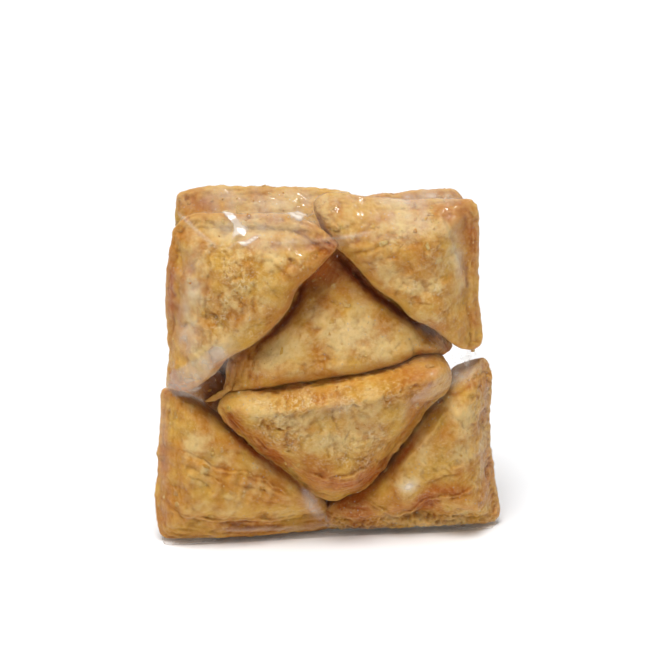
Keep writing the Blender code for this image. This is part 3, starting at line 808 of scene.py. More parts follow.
            ("line", 0.6, -0.6, ((352, 425), (345, 440), (330, 446))), ("line", 0.6, -0.6, ((372, 420), (384, 428), (390, 440))),
            ("line", 0.7, 0.8, ((345, 400), (355, 409), (357, 420))), ("line", 0.6, -0.7, ((280, 398), (292, 404), (305, 404))),
            ("step", 9, 2.0, ((382, 455), (368, 465), (352, 475), (336, 477), (320, 476), (304, 469), (288, 460))),
            ("step", 6, 1.4, ((390, 460), (376, 470), (360, 480), (344, 487), (326, 488))),
            ("step", 8, 1.6, ((292, 468), (278, 455), (262, 445), (248, 431), (240, 420))),
            ("line", 1.0, -1.6, ((376, 458), (384, 460), (392, 460))), ("line", 0.7, -0.8, ((300, 474), (318, 482), (336, 483), (352, 481))),
            ("line", 0.7, -0.8, ((228, 399), (230, 414), (240, 428))), ("line", 0.6, -0.7, ((236, 397), (241, 412), (250, 424))),
            ("line", 0.6, -0.7, ((222, 401), (224, 412), (230, 420))),
            ("tone", (335, 482), (44, 9), 0, 0.85, -0.2), ("tone", (372, 472), (20, 7), -40, 0.9, -0.1), ("tone", (270, 450), (26, 8), 35, 0.9, -0.2),
            ("tone", (414, 377), (26, 15), -12, 0.85, -0.15), ("tone", (300, 392), (70, 6), -8, 0.35, -0.2), ("tone", (410, 420), (12, 26), 35, 0.5, -0.1), ("tone", (260, 408), (20, 10), 0, 0.1, 0.3),
            ("tone", (340, 405), (34, 14), 0, -0.3, 0.45), ("tone", (288, 424), (30, 18), 20, -0.35, 0.4), ("tone", (335, 445), (34, 12), 0, -0.3, 0.4), ("tone", (366, 432), (20, 20), 0, -0.3, 0.45),
            ("tone", (262, 423), (3, 5), 0, 0.5, -0.2), ("tone", (262, 412), (16, 9), 0, -0.3, 0.3), ("tone", (235, 420), (10, 12), 30, 0.7, 0.0), ("tone", (370, 392), (14, 8), 0, 0.2, 0.2),
        ),
    ),
    (
        "puff_front_lower_left", ((-75.5, -14.0, 79.0), (4.0, -17.0, 6.0), (-80.0, -21.0, 2.8)),
        (
            ((166, 385), (182, 391), (203, 402), (222, 414), (242, 430), (266, 446), (290, 462), (310, 478), (324, 493), (331, 508), (336, 526)),
            ((162, 385), (160, 402), (159, 425), (157, 450), (157, 475), (155, 500), (156, 520), (158, 538)),
            ((336, 528), (318, 532), (290, 535), (260, 538), (225, 540), (190, 541), (160, 541)),
        ),
        {"tips": (2.0, 2.0), "lamellae": 0.45, "wrinkles": 0.4, "crackle": 0.2, "rough": 0.4, "spread": 1.7, "seals": (3.0, 9.0), "slope": 18.0, "crown": 0.97},
        (
            ("gap", 1.6, 1.6, ((222, 412), (236, 430), (250, 446), (266, 460), (284, 474), (304, 490), (322, 506))),
            ("calm", (230, 490), (60, 18), 8),
            ("lump", (235, 529), (85, 9), 1, 3.6), ("lump", (232, 438), (34, 18), 20, 1.8), ("lump", (232, 500), (44, 13), 5, 1.0), ("lump", (186, 428), (18, 18), 0, 0.8),
            ("lump", (180, 500), (13, 14), 0, 1.0), ("lump", (270, 475), (24, 8), 28, 0.8),
            ("step", 11, 3.0, ((302, 497), (285, 489), (262, 478), (245, 471), (225, 470), (212, 466), (200, 458), (184, 450), (166, 448))),
            ("line", 1.0, -1.3, ((166, 449), (184, 451), (200, 459), (212, 467), (226, 472), (246, 473), (262, 480), (285, 491), (300, 499))),
            ("step", 8, 2.0, ((226, 482), (212, 477), (195, 469), (178, 461))), ("line", 0.8, -1.0, ((178, 462), (195, 470), (212, 478), (226, 483))),
            ("line", 0.8, -0.9, ((186, 472), (204, 481), (216, 492))), ("line", 0.9, -0.9, ((222, 448), (242, 452), (264, 461), (286, 475))),
            ("line", 0.7, -0.8, ((248, 457), (274, 470), (292, 484))), ("line", 0.9, -1.0, ((268, 486), (288, 491), (302, 500))),
            ("line", 0.8, -0.8, ((230, 482), (258, 488), (282, 498))), ("line", 0.7, -0.7, ((255, 496), (275, 503), (298, 506))),
            ("step", 7, 2.2, ((312, 512), (300, 515), (250, 518), (215, 519), (190, 516), (174, 511), (166, 500), (163, 484))),
            ("line", 1.2, -1.7, ((163, 484), (166, 500), (175, 512), (190, 518), (215, 521), (250, 520), (300, 517))),
            ("line", 1.0, 1.0, ((181, 479), (190, 487), (194, 498))), ("line", 0.8, -1.0, ((162, 524), (200, 529), (260, 530), (312, 524))),
            ("line", 0.7, -0.8, ((162, 532), (200, 535), (245, 534))), ("line", 0.7, -0.8, ((260, 524), (290, 523), (318, 520))),
            ("lump", (247, 525), (6, 2), 10, -1.5), ("lump", (263, 514), (7, 3), 0, -1.2), ("lump", (190, 513), (9, 3), 0, 1.0),
            ("line", 0.8, -0.9, ((177, 401), (189, 407), (199, 418))), ("line", 0.7, -0.8, ((171, 398), (168, 425), (165, 448))),
            ("line", 0.7, -0.6, ((172, 416), (180, 424))), ("line", 0.7, -0.7, ((206, 408), (214, 420), (230, 432))),
            ("tone", (240, 440), (26, 12), 25, 0.3, 0.0), ("tone", (235, 462), (30, 7), 10, -0.3, 0.5), ("tone", (196, 440), (16, 14), 0, -0.2, 0.5),
            ("tone", (215, 470), (40, 6), 15, 0.6, -0.1), ("tone", (280, 492), (26, 10), 20, 0.35, 0.0), ("tone", (185, 500), (14, 12), 0, 0.35, 0.1),
            ("tone", (230, 522), (75, 7), 0, 0.5, 0.0), ("tone", (206, 466), (5, 4), 0, -0.3, 1.0), ("tone", (164, 440), (5, 60), 0, 0.3, 0.3),
            ("tone", (222, 495), (26, 9), 0, 0.0, 0.1),
        ),
    ),
    (
        "puff_front_lower_right", ((73.5, -15.0, 87.0), (4.0, -17.5, 6.5), (80.5, -16.0, 2.8)),
        (
            ((483, 354), (474, 359), (464, 364), (455, 369), (448, 377), (441, 388), (430, 400), (418, 414), (405, 433), (393, 450), (382, 466), (366, 480),
             (350, 488), (338, 494), (326, 502), (322, 512)),
            ((487, 353), (491, 366), (493, 382), (490, 400), (490, 430), (492, 455), (496, 480), (499, 502), (501, 524)),
            ((330, 529), (352, 530), (380, 529), (410, 528), (440, 527), (470, 525), (500, 524)),
        ),
        {"tips": (2.6, 2.6), "crumbly": 1.7, "spread": 1.7, "seals": (3.0, 8.5), "slope": 18.0, "lamellae": 0.35, "crackle": 0.4},
        (
            ("gap", 1.2, 1.2, ((446, 384), (434, 402), (420, 420), (408, 438), (396, 454), (386, 466), (372, 480), (356, 490))),
            ("calm", (360, 503), (34, 12), 0), ("calm", (450, 486), (34, 9), -12), ("calm", (420, 425), (16, 46), 38),
            ("lump", (418, 520), (85, 9), -2, 4.4), ("lump", (430, 438), (34, 28), -40, 1.6), ("lump", (424, 424), (38, 11), -52, 1.6), ("lump", (456, 411), (12, 7), 0, 1.3), ("lump", (400, 480), (14, 16), 0, 0.8),
            ("lump", (460, 472), (20, 12), -15, 1.4), ("lump", (350, 509), (13, 7), 0, 1.4), ("lump", (425, 502), (9, 5), -10, -2.0),
            ("step", 8, 2.4, ((484, 470), (478, 482), (465, 492), (446, 496), (426, 499), (413, 508), (396, 513), (381, 508), (368, 499), (354, 492))),
            ("line", 1.5, -2.2, ((354, 494), (368, 501), (381, 510), (396, 516), (414, 511), (427, 501), (446, 498), (465, 494), (479, 483))),
            ("line", 0.8, -0.9, ((449, 412), (461, 419), (466, 430))), ("line", 0.7, -0.8, ((400, 453), (403, 470), (406, 484))),
            ("line", 0.7, -0.8, ((381, 478), (392, 487), (399, 500))), ("line", 0.6, -0.7, ((388, 468), (395, 480), (398, 490))),
            ("line", 0.9, -0.5, ((443, 444), (452, 452), (464, 455))), ("line", 0.9, -0.5, ((463, 448), (470, 456), (474, 466))),
            ("line", 1.0, -1.2, ((466, 402), (476, 394), (482, 380))), ("line", 2.2, -0.9, ((424, 414), (436, 402), (452, 393), (470, 384), (482, 376))), ("tone", (462, 376), (16, 7), -25, -0.3, 0.8), ("tone", (455, 392), (22, 5), -24, 0.6, -0.2), ("line", 0.7, -0.8, ((479, 384), (484, 396))),
            ("line", 0.8, -0.8, ((420, 485), (440, 478), (462, 470))), ("line", 0.9, 0.8, ((420, 480), (444, 470), (468, 462))),
            ("line", 0.7, -0.9, ((474, 410), (483, 430), (486, 452))), ("line", 0.7, -0.8, ((480, 460), (488, 480), (492, 500))),
            ("lump", (446, 518), (12, 2), -4, -1.5), ("lump", (395, 520), (9, 3), 0, -1.3), ("lump", (361, 522), (4, 6), -20, -1.6),
            ("lump", (376, 525), (7, 3), 20, -1.4), ("lump", (480, 508), (2, 7), 0, -1.0), ("line", 0.8, -1.0, ((344, 503), (358, 506), (372, 509))),
            ("lump", (380, 517), (9, 5), 0, 1.2), ("lump", (420, 515), (12, 4), 0, 1.2), ("lump", (468, 505), (9, 5), 0, 1.2), ("lump", (340, 518), (8, 6), 0, 0.8),
            ("tone", (425, 502), (14, 7), -8, 1.2, -0.4), ("tone", (358, 512), (24, 14), 0, 1.0, -0.4), ("tone", (455, 490), (28, 7), -12, 0.9, -0.2),
            # painted light: the bottom band at (430, 518) is made paler where it lies in shade
            ("tone", (410, 484), (10, 6), -10, -0.3, 1.1), ("tone", (430, 518), (66, 8), -3, -0.2, 0.7), ("tone", (475, 386), (12, 12), 0, 0.4, 0.0), ("tone", (468, 368), (18, 8), -20, -0.2, 0.6),
            ("tone", (432, 440), (28, 22), -40, -0.25, 0.25), ("tone", (458, 412), (12, 7), 0, -0.2, 0.5), ("tone", (475, 435), (14, 40), 0, -0.3, 0.6),
            ("tone", (398, 508), (16, 5), 0, 0.8, -0.1), ("tone", (408, 440), (10, 22), 35, 0.35, 0.0),
        ),
    ),
)
BACK = (
    ("puff_back_upper_left", ((16.0, 18.0, 161.5), (-69.5, 17.0, 93.0), (-69.5, 15.5, 166.3)), {"bulge": 8.0, "brown": -0.25, "pale": 0.3, "seals": (2.0, 2.0), "lamellae": 0.15, "wrinkles": 0.2, "spread": 0.7, "inner": 1.0},
     (
         ("line", 2.2, -0.8, ((184, 207), (205, 201), (232, 197), (262, 193))), ("line", 2.0, -0.9, ((198, 214), (228, 210), (244, 203), (266, 197))),
         ("lump", (272, 204), (30, 8), 0, 1.6), ("lump", (300, 200), (14, 8), 0, 1.0),
         # painted light: the upper face at (275, 204) is made paler for the light from above
         ("tone", (200, 204), (28, 10), 0, 0.6, -0.1), ("tone", (275, 204), (30, 10), 0, -0.1, 0.7),
     )),
    ("puff_back_upper_right", ((-12.0, 15.0, 155.0), (70.0, 18.5, 93.0), (67.0, 16.0, 162.5)), {"bulge": 8.0, "pale": 0.2, "inner": 1.0}, ()),
    ("puff_back_middle_up", ((-51.0, 14.5, 84.0), (57.0, 15.0, 85.0), (0.0, 6.0, 143.0)), {"bulge": 6.0}, ()),
    ("puff_back_middle_down", ((-57.0, 20.0, 79.0), (56.0, 20.5, 76.0), (-1.0, 22.0, 16.0)), {"bulge": 4.0}, ()),
    ("puff_back_lower_left", ((-74.0, 15.0, 89.0), (0.0, 16.0, 6.0), (-79.5, 15.5, 2.8)), {"bulge": 7.0, "spread": 1.8, "seals": (7.0, 7.0)}, ()),
    ("puff_back_lower_right", ((76.0, 15.0, 73.0), (5.0, 16.0, 6.0), (80.0, 15.5, 2.8)), {"bulge": 7.0, "spread": 1.8, "seals": (7.0, 7.0)}, ()),
)


# ------------------------------------------------------------------ materials


def linear(r, g, b):
    """From the usual 0-255 screen colour."""
    return tuple(((c / 255 + 0.055) / 1.055) ** 2.4 if c > 10 else c / 255 / 12.92 for c in (r, g, b)) + (1.0,)


class Nodes:
    def __init__(self, name):
        self.material = bpy.data.materials.new(name)
        self.material.use_nodes = True
        self.tree = self.material.node_tree
        self.tree.nodes.clear()

    def add(self, kind, inputs=None, **settings):
        node = self.tree.nodes.new(kind)
        for key, value in settings.items():
            setattr(node, key, value)
        for key, value in (inputs or {}).items():
            if hasattr(value, "is_output"):
                self.tree.links.new(value, node.inputs[key])
            else:
                node.inputs[key].default_value = value
        return node

    def attribute(self, name):
        return self.add("ShaderNodeAttribute", attribute_name=name).outputs["Fac"]

    def math(self, kind, a, b=0.0, clamp=False):
        return self.add("ShaderNodeMath", {0: a, 1: b}, operation=kind, use_clamp=clamp).outputs[0]

    def noise(self, scale, detail=3.0, roughness=0.55, where=None):
        inputs = {"Scale": scale, "Detail": detail, "Roughness": roughness}
        if where is not None:
            inputs["Vector"] = where
        return self.add("ShaderNodeTexNoise", inputs).outputs["Fac"]

    def span(self, value, lo, hi, to_lo=0.0, to_hi=1.0):
        return self.add(
            "ShaderNodeMapRange",
            {"Value": value, "From Min": lo, "From Max": hi, "To Min": to_lo, "To Max": to_hi},
            interpolation_type="SMOOTHSTEP",
        ).outputs["Result"]

    def mix(self, share, a, b, blend="MIX"):
        node = self.tree.nodes.new("ShaderNodeMix")
        node.data_type, node.blend_type = "RGBA", blend
        for socket, value in ((node.inputs[0], share), (node.inputs[6], a), (node.inputs[7], b)):
            if hasattr(value, "is_output"):
                self.tree.links.new(value, socket)
            else:
                socket.default_value = value
        return node.outputs[2]


def pastry_material():
    m = Nodes("baked_puff_pastry")
    where = m.add("ShaderNodeTexCoord").outputs["Object"]
    brown, pale = m.attribute("brown"), m.attribute("pale")
    cavity_shade, ridge_highlight, crack_and_shade, flaky = m.attribute("cavity_shade"), m.attribute("ridge_highlight"), m.attribute("crack_and_shade"), m.attribute("flaky")
    broad = m.noise(70.0, 3.0, 0.55, where)
    mottle = m.noise(330.0, 4.0, 0.6, where)
    speck = m.noise(1100.0, 3.0, 0.65, where)
    gold = m.mix(m.span(broad, 0.35, 0.65), linear(181, 117, 37), linear(201, 153, 63))
    light = m.span(m.math("ADD", pale, m.math("MULTIPLY", m.math("SUBTRACT", mottle, 0.5), 1.1)), 0.2, 1.25)
    colour = m.mix(light, gold, linear(214, 183, 121))
    dark = m.span(m.math("ADD", brown, m.math("MULTIPLY", m.math("SUBTRACT", mottle, 0.5), 0.7)), 0.25, 1.15)
    colour = m.mix(dark, colour, linear(166, 88, 18))
    colour = m.mix(m.math("MULTIPLY", m.span(speck, 0.56, 0.74), 0.30), colour, linear(146, 84, 22))
    colour = m.mix(m.math("MULTIPLY", m.span(speck, 0.44, 0.28), 0.30), colour, linear(226, 198, 144))
    grit = m.noise(560.0, 5.0, 0.72, where)
    # pale and dark grit on the flaky parts; the pale grit also stands for small painted highlights on the crests
    colour = m.mix(m.math("MULTIPLY", m.math("MULTIPLY", flaky, 0.52), m.span(grit, 0.50, 0.68)), colour, linear(234, 214, 164))
    colour = m.mix(m.math("MULTIPLY", m.math("MULTIPLY", flaky, 0.36), m.span(grit, 0.46, 0.32)), colour, linear(134, 82, 28))
    # a thin curly net of pale lines on the flaky parts: painted highlights on the lifted flake edges
    highlight_thread = m.noise(300.0, 2.0, 0.6, where)
    highlight_thread = m.span(m.math("ABSOLUTE", m.math("SUBTRACT", highlight_thread, 0.5)), 0.035, 0.0)
    highlight_thread = m.math("MULTIPLY", m.math("MULTIPLY", highlight_thread, flaky), m.span(m.noise(120.0, 1.0, 0.5, where), 0.46, 0.62))
    colour = m.mix(m.math("MULTIPLY", highlight_thread, 0.46), colour, linear(244, 232, 200))
    # painted highlight, paler on the ridges of the surface
    colour = m.mix(m.math("MULTIPLY", ridge_highlight, 0.34), colour, linear(226, 186, 116))
    # painted shade in the hollows, the pockets and the back faces
    colour = m.mix(m.math("MULTIPLY", cavity_shade, 0.58), colour, linear(122, 54, 8))
    # dark brown along cracks, and painted shade along creases, gaps between puffs and pockets
    colour = m.mix(m.math("MULTIPLY", crack_and_shade, 0.42, clamp=True), colour, linear(124, 56, 8))
    rough = m.span(m.math("ADD", mottle, m.math("MULTIPLY", brown, -0.15)), 0.3, 0.7, 0.40, 0.62)
    height = m.math("ADD", m.math("MULTIPLY", mottle, 1.0), m.math("MULTIPLY", speck, 0.5))
    height = m.math("ADD", height, m.math("MULTIPLY", m.math("MULTIPLY", grit, flaky), 2.6))
    height = m.math("ADD", height, m.math("MULTIPLY", highlight_thread, 0.5))
    bump = m.add("ShaderNodeBump", {"Height": height, "Strength": 0.5, "Distance": 0.0005}).outputs["Normal"]
    shader = m.add("ShaderNodeBsdfPrincipled", {"Base Color": colour, "Roughness": rough, "Normal": bump})
    shader.inputs["Subsurface Weight"].default_value = 0.28
    shader.inputs["Subsurface Radius"].default_value = (1.0, 0.5, 0.22)
    shader.inputs["Subsurface Scale"].default_value = 0.0025
    shader.inputs["Specular IOR Level"].default_value = 0.15
    out = m.add("ShaderNodeOutputMaterial")
    m.tree.links.new(shader.outputs[0], out.inputs["Surface"])
    return m.material


def film_material():
    m = Nodes("clear_film")
    where = m.add("ShaderNodeTexCoord").outputs["Object"]
    haze_and_glints = m.attribute("haze_and_glints")
    cloud = m.noise(55.0, 3.0, 0.6, where)
    veil = m.math("MULTIPLY", haze_and_glints, m.span(cloud, 0.3, 0.7, 0.55, 1.0), clamp=True)
    # tiny droplets on the film, drawn as milky white specks that stand in for their glints: painted glints
    spots = m.add("ShaderNodeTexVoronoi", {"Vector": where, "Scale": 620.0})
    few = m.span(m.add("ShaderNodeSeparateColor", {"Color": spots.outputs["Color"]}).outputs[0], 0.72, 0.80)
    drop_glints = m.math("MULTIPLY", m.span(spots.outputs["Distance"], 0.24, 0.10), few)
    drop_glints = m.math("MULTIPLY", drop_glints, m.span(m.noise(45.0, 2.0, 0.5, where), 0.42, 0.62, 0.08, 0.5))
    veil = m.math("ADD", veil, drop_glints, clamp=True)
    clear = m.add("ShaderNodeBsdfTransparent", {"Color": (0.995, 0.995, 0.995, 1)}).outputs[0]
    # a milky white diffuse, which also draws the painted glints
    milky = m.add("ShaderNodeBsdfDiffuse", {"Color": (0.93, 0.865, 0.775, 1)}).outputs[0]
    body = m.add("ShaderNodeMixShader", {0: veil, 1: clear, 2: milky}).outputs[0]
    crinkle = m.noise(240.0, 2.0, 0.5, where)
    bump = m.add("ShaderNodeBump", {"Height": crinkle, "Strength": 0.25, "Distance": 0.0004}).outputs["Normal"]
    gloss = m.add("ShaderNodeBsdfGlossy", {"Color": (1, 1, 1, 1), "Roughness": 0.09, "Normal": bump}).outputs[0]
    # the same from both sides, as for a thin sheet
    slant = m.add("ShaderNodeLayerWeight", {"Blend": 0.5}).outputs["Facing"]
    mirror = m.math("ADD", m.math("MULTIPLY", m.math("POWER", slant, 5.0), 0.3), 0.0028)
    # and a soft sheen that grows towards its edges
    sheen = m.add("ShaderNodeBsdfGlossy", {"Color": (0.95, 0.86, 0.74, 1), "Roughness": 0.6}).outputs[0]
    body = m.add("ShaderNodeMixShader", {0: m.math("MULTIPLY", m.math("POWER", slant, 7.0), 0.5), 1: body, 2: sheen}).outputs[0]
    shader = m.add("ShaderNodeMixShader", {0: mirror, 1: body, 2: gloss}).outputs[0]
    out = m.add("ShaderNodeOutputMaterial")
    m.tree.links.new(shader, out.inputs["Surface"])
    return m.material


# ------------------------------------------------------------------ the pieces

pastry = pastry_material()
all_points, all_faces, offset = [], [], 0
puffs = [
    (Puff(name, corners, (0, -1, 0), 1000 * (k + 1), look, runs, marks), 0.64)
    for k, (name, corners, runs, look, marks) in enumerate(FRONT)
] + [
    (Puff(name, corners, (0, 1, 0), 1000 * (k + 1) + 500, look, None, marks, -1 if k < 2 else 1), 0.75 if k < 2 else 1.05)
    for k, (name, corners, look, marks) in enumerate(BACK)
]
for puff, step in puffs:
    points, quads, attributes = build_puff(puff, step * (1.0))
    obj = add_mesh(puff.name, points, quads, attributes)
    obj.data.materials.append(pastry)
    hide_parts("bag")
    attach(obj, "root")
    all_points.append(points)
    all_faces.append(quads + offset)
    offset += len(points)
    print(puff.name, len(points), "points", len(quads) * 2, "triangles", points.min(0).round(1), points.max(0).round(1))

tree = BVHTree.FromPolygons(np.concatenate(all_points).tolist(), np.concatenate(all_faces).tolist())

# ------------------------------------------------------------------ loose flakes and crumbs under the film


def landing_places(rng):
    """Random points on the pastry: seen from the front, from behind, and from above."""
    places = []
    for view, count in (("front", 200), ("back", 80), ("above", 30)):
        while count:
            if view == "front":
                start = EYE
                way = seen_from_eye((rng.uniform(158, 500), rng.uniform(190, 535)))[0]
            elif view == "back":
                start, way = np.array((rng.uniform(-78, 78), 300.0, rng.uniform(4, 165))), np.array((0.0, -1.0, 0.0))
            else:
                start, way = np.array((rng.uniform(-75, 75), rng.uniform(-30, 30), 400.0)), np.array((0.0, 0.0, -1.0))
            hit, face, _, _ = tree.ray_cast(Vector(start), Vector(way / np.linalg.norm(way)))
            if hit is None or face.dot(Vector(-way)) < 0.2:
                continue
            places.append((np.array(hit), np.array(face)))
            count -= 1
    return places


def tangents(normal):
    a = np.cross(normal, (0.0, 0.0, 1.0) if abs(normal[2]) < 0.9 else (1.0, 0.0, 0.0))
    a /= np.linalg.norm(a)
    return a, np.cross(normal, a)


def build_flakes(rng, places):
    """Thin curled scales of baked pastry, each a closed sheet with a ragged outline."""
    points, faces, facts = [], [], {key: [] for key in ("brown", "pale", "cavity_shade", "ridge_highlight", "crack_and_shade", "flaky")}
    rays = 8
    for at, normal in places:
        size = 0.35 + 1.0 * rng.random() ** 3
        long = rng.uniform(1.0, 2.2)
        a, b = tangents(normal)
        turn = rng.uniform(0, 2 * math.pi)
        a, b = a * math.cos(turn) + b * math.sin(turn), b * math.cos(turn) - a * math.sin(turn)
        angle = np.linspace(0, 2 * math.pi, rays, endpoint=False)
        ragged = size * (1 + 0.35 * rng.standard_normal(rays)).clip(0.45, 1.6)
        curl, tilt = rng.uniform(-0.08, 0.12), rng.uniform(0.0, 0.14)
        sheet = []
        for share in (0.0, 0.55, 1.0):
            x, y = share * ragged * long * np.cos(angle), share * ragged * np.sin(angle)
            z = 0.12 + curl * y * y + tilt * (x + size * long) * 0.5 + 0.05 * rng.standard_normal(rays)
            ring = at + x[:, None] * a + y[:, None] * b + z[:, None] * normal
            sheet.append(ring[:1] if share == 0 else ring)
        top = np.concatenate(sheet)
        count = len(top)
        base = len(points) and sum(len(p) for p in points)
        under = top - 0.22 * normal
        points.append(np.concatenate((top, under)))
        for k in range(rays):
            m = (k + 1) % rays
            i0, i1, o0, o1 = 1 + k, 1 + m, 1 + rays + k, 1 + rays + m
            for tri in ((0, i0, i1), (i0, o0, o1), (i0, o1, i1)):
                faces.append([base + q for q in tri])
                faces.append([base + count + q for q in tri[::-1]])
            faces.append([base + o0, base + count + o0, base + count + o1])
            faces.append([base + o0, base + count + o1, base + o1])
        own = {"brown": rng.uniform(0.1, 0.7), "pale": rng.uniform(0.0, 0.8), "cavity_shade": 0.0, "ridge_highlight": rng.uniform(0.0, 0.6), "crack_and_shade": 0.0, "flaky": 0.5}
        for key, value in own.items():
            facts[key].append(np.full(2 * count, value))
    return np.concatenate(points), np.array(faces), {key: np.concatenate(value) for key, value in facts.items()}


def build_crumbs(rng, places):
    """Small broken grains."""
    g = (1 + math.sqrt(5)) / 2
    ball = np.array([(-1, g, 0), (1, g, 0), (-1, -g, 0), (1, -g, 0), (0, -1, g), (0, 1, g), (0, -1, -g), (0, 1, -g), (g, 0, -1), (g, 0, 1), (-g, 0, -1), (-g, 0, 1)])
    ball /= np.linalg.norm(ball[0])
    skin = np.array([
        (0, 11, 5), (0, 5, 1), (0, 1, 7), (0, 7, 10), (0, 10, 11), (1, 5, 9), (5, 11, 4), (11, 10, 2), (10, 7, 6), (7, 1, 8),
        (3, 9, 4), (3, 4, 2), (3, 2, 6), (3, 6, 8), (3, 8, 9), (4, 9, 5), (2, 4, 11), (6, 2, 10), (8, 6, 7), (9, 8, 1),
    ])
    points, faces, facts = [], [], {key: [] for key in ("brown", "pale", "cavity_shade", "ridge_highlight", "crack_and_shade", "flaky")}
    for k, (at, normal, size) in enumerate(places):
        form = ball * (1 + 0.25 * rng.standard_normal((12, 1))) * size * rng.uniform(0.7, 1.2, 3)
        points.append(at + 0.5 * size * normal + form)
        faces.append(skin + 12 * k)
        own = {"brown": rng.uniform(0, 0.7), "pale": rng.uniform(0.1, 1.0), "cavity_shade": 0.0, "ridge_highlight": 0.3, "crack_and_shade": 0.0, "flaky": 0.4}
        for key, value in own.items():
            facts[key].append(np.full(12, value))
    return np.concatenate(points), np.concatenate(faces), {key: np.concatenate(value) for key, value in facts.items()}


def build_ribbon(line, wide, thick):
    """A torn strip of the outer leaf, lying along a line of the photograph: the pastry under it, evened out."""
    line = rounded(line, 3)
    centre = []
    for ray in seen_from_eye(line):
        hit, face, _, _ = tree.ray_cast(Vector(EYE), Vector(ray / np.linalg.norm(ray)))
        centre.append(np.array(hit) if hit is not None else centre[-1])
    centre = np.array(centre)
    depth = (EYE - centre) @ BACKWARD
    shallow = np.minimum(depth, depth.min() + 5.0)
    centre, depth = centre + (depth - shallow)[:, None] * BACKWARD, shallow
    even = depth.copy()
    for _ in range(12):
        even[1:-1] = (even[:-2] + even[1:-1] + even[2:]) / 3
    centre = centre + ((depth - np.minimum(even, depth)) + 0.7)[:, None] * BACKWARD
    count, around = len(centre), 12
    along = np.gradient(centre, axis=0)
    along /= np.linalg.norm(along, axis=1, keepdims=True)
    across = np.cross(BACKWARD, along)
    across /= np.linalg.norm(across, axis=1, keepdims=True)
    t = np.linspace(0, 1, count)
    taper = np.sqrt(np.clip(np.minimum(t / 0.10, (1 - t) / 0.14), 0.02, 1)) * (1 + 0.45 * noise2(t * 9, 0 * t, 71))
    lean = 0.5 * noise2(t * 3, 0 * t, 73)
    points = []
    for k in range(around):
        angle = 2 * math.pi * k / around
        a, b = math.cos(angle) * wide * taper, math.sin(angle) * thick * taper
        a, b = a * np.cos(lean) - b * np.sin(lean), a * np.sin(lean) + b * np.cos(lean)
        points.append(centre + a[:, None] * across + b[:, None] * BACKWARD)
    points = np.stack(points, 1).reshape(-1, 3)
    faces = []
    for i in range(count - 1):
        for k in range(around):
            m = (k + 1) % around
            a, b, c, d = i * around + k, i * around + m, (i + 1) * around + m, (i + 1) * around + k
            faces += [(a, b, c), (a, c, d)]
    for i in (0, count - 1):
        for k in range(1, around - 1):
            faces.append((i * around, i * around + k + 1, i * around + k) if i == 0 else (i * around, i * around + k, i * around + k + 1))
    values = {"brown": 0.6, "pale": 0.3, "cavity_shade": 0.0, "ridge_highlight": 0.5, "crack_and_shade": 0.0, "flaky": 0.1}
    return points, np.array(faces), {key: np.full(len(points), value) for key, value in values.items()}


rng = np.random.default_rng(77)
loose = [("torn_leaf", build_ribbon(((208, 400), (216, 397), (224, 393), (230, 387), (233, 379), (234, 370), (235, 362)), 1.5, 0.5))]
loose += [("loose_flakes", build_flakes(rng, landing_places(rng)))]
grains = [(at, normal, rng.uniform(0.18, 0.5)) for at, normal in landing_places(rng)]
dark_grain = seen_from_eye((473, 352))[0]
grains.append((EYE + dark_grain * ((-12.0 - EYE[1]) / dark_grain[1]), np.array((0.0, 0.0, 1.0)), 1.1))
loose.append(("loose_crumbs", build_crumbs(rng, grains)))
for name, (points, faces, attributes) in loose:
    obj = add_mesh(name, points, faces, attributes, smooth_shade=False)
    obj.data.materials.append(pastry)
    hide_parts("bag")
    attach(obj, "root")
    print(name, len(faces), "triangles")


def cad_surface():
    """The bag's own outer form from the frame, welded: (points in mm, triangles)."""
    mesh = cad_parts["bag"].data
    flat = np.zeros(len(mesh.vertices) * 3)
    mesh.vertices.foreach_get("co", flat)
    world = np.array(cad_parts["bag"].matrix_world)
    points = (flat.reshape(-1, 3) @ world[:3, :3].T + world[:3, 3]) / MM
    mesh.calc_loop_triangles()
    tris = np.zeros(len(mesh.loop_triangles) * 3, np.int32)
    mesh.loop_triangles.foreach_get("vertices", tris)
    keys, first, same = np.unique(np.round(points, 3), axis=0, return_index=True, return_inverse=True)
    tris = same.ravel()[tris].reshape(-1, 3)
    good = (tris[:, 0] != tris[:, 1]) & (tris[:, 1] != tris[:, 2]) & (tris[:, 0] != tris[:, 2])
    return points[first], tris[good]


def halve(points, tris):
    """Each triangle into four."""
    pairs = np.sort(np.concatenate([tris[:, (0, 1)], tris[:, (1, 2)], tris[:, (2, 0)]]), axis=1)
    unique, index = np.unique(pairs, axis=0, return_inverse=True)
    middles = len(points) + index.ravel().reshape(3, -1)
    points = np.concatenate((points, points[unique].mean(1)))
    a, b, c = tris.T
    ab, bc, ca = middles
    return points, np.concatenate([np.stack(t, 1) for t in ((a, ab, ca), (ab, b, bc), (ca, bc, c), (ab, bc, ca))])


def tri_normals(points, tris):
    across = np.cross(points[tris[:, 1]] - points[tris[:, 0]], points[tris[:, 2]] - points[tris[:, 0]])
    normal = np.zeros_like(points)
    for corner in range(3):
        for axis in range(3):
            normal[:, axis] += np.bincount(tris[:, corner], across[:, axis], len(points))
    return normal / np.maximum(np.linalg.norm(normal, axis=1, keepdims=True), 1e-12)


def clearance(points):
    """How far each film point is outside the pastry, negative inside, and the nearest pastry point."""
    gap, near = np.zeros(len(points)), np.zeros_like(points)
    for i, p in enumerate(points.tolist()):
        hit, face, _, d = tree.find_nearest(p)
        near[i] = hit
        away = (p[0] - hit[0]) * face[0] + (p[1] - hit[1]) * face[1] + (p[2] - hit[2]) * face[2]
        gap[i] = d if away > 0 else -d
    return gap, near


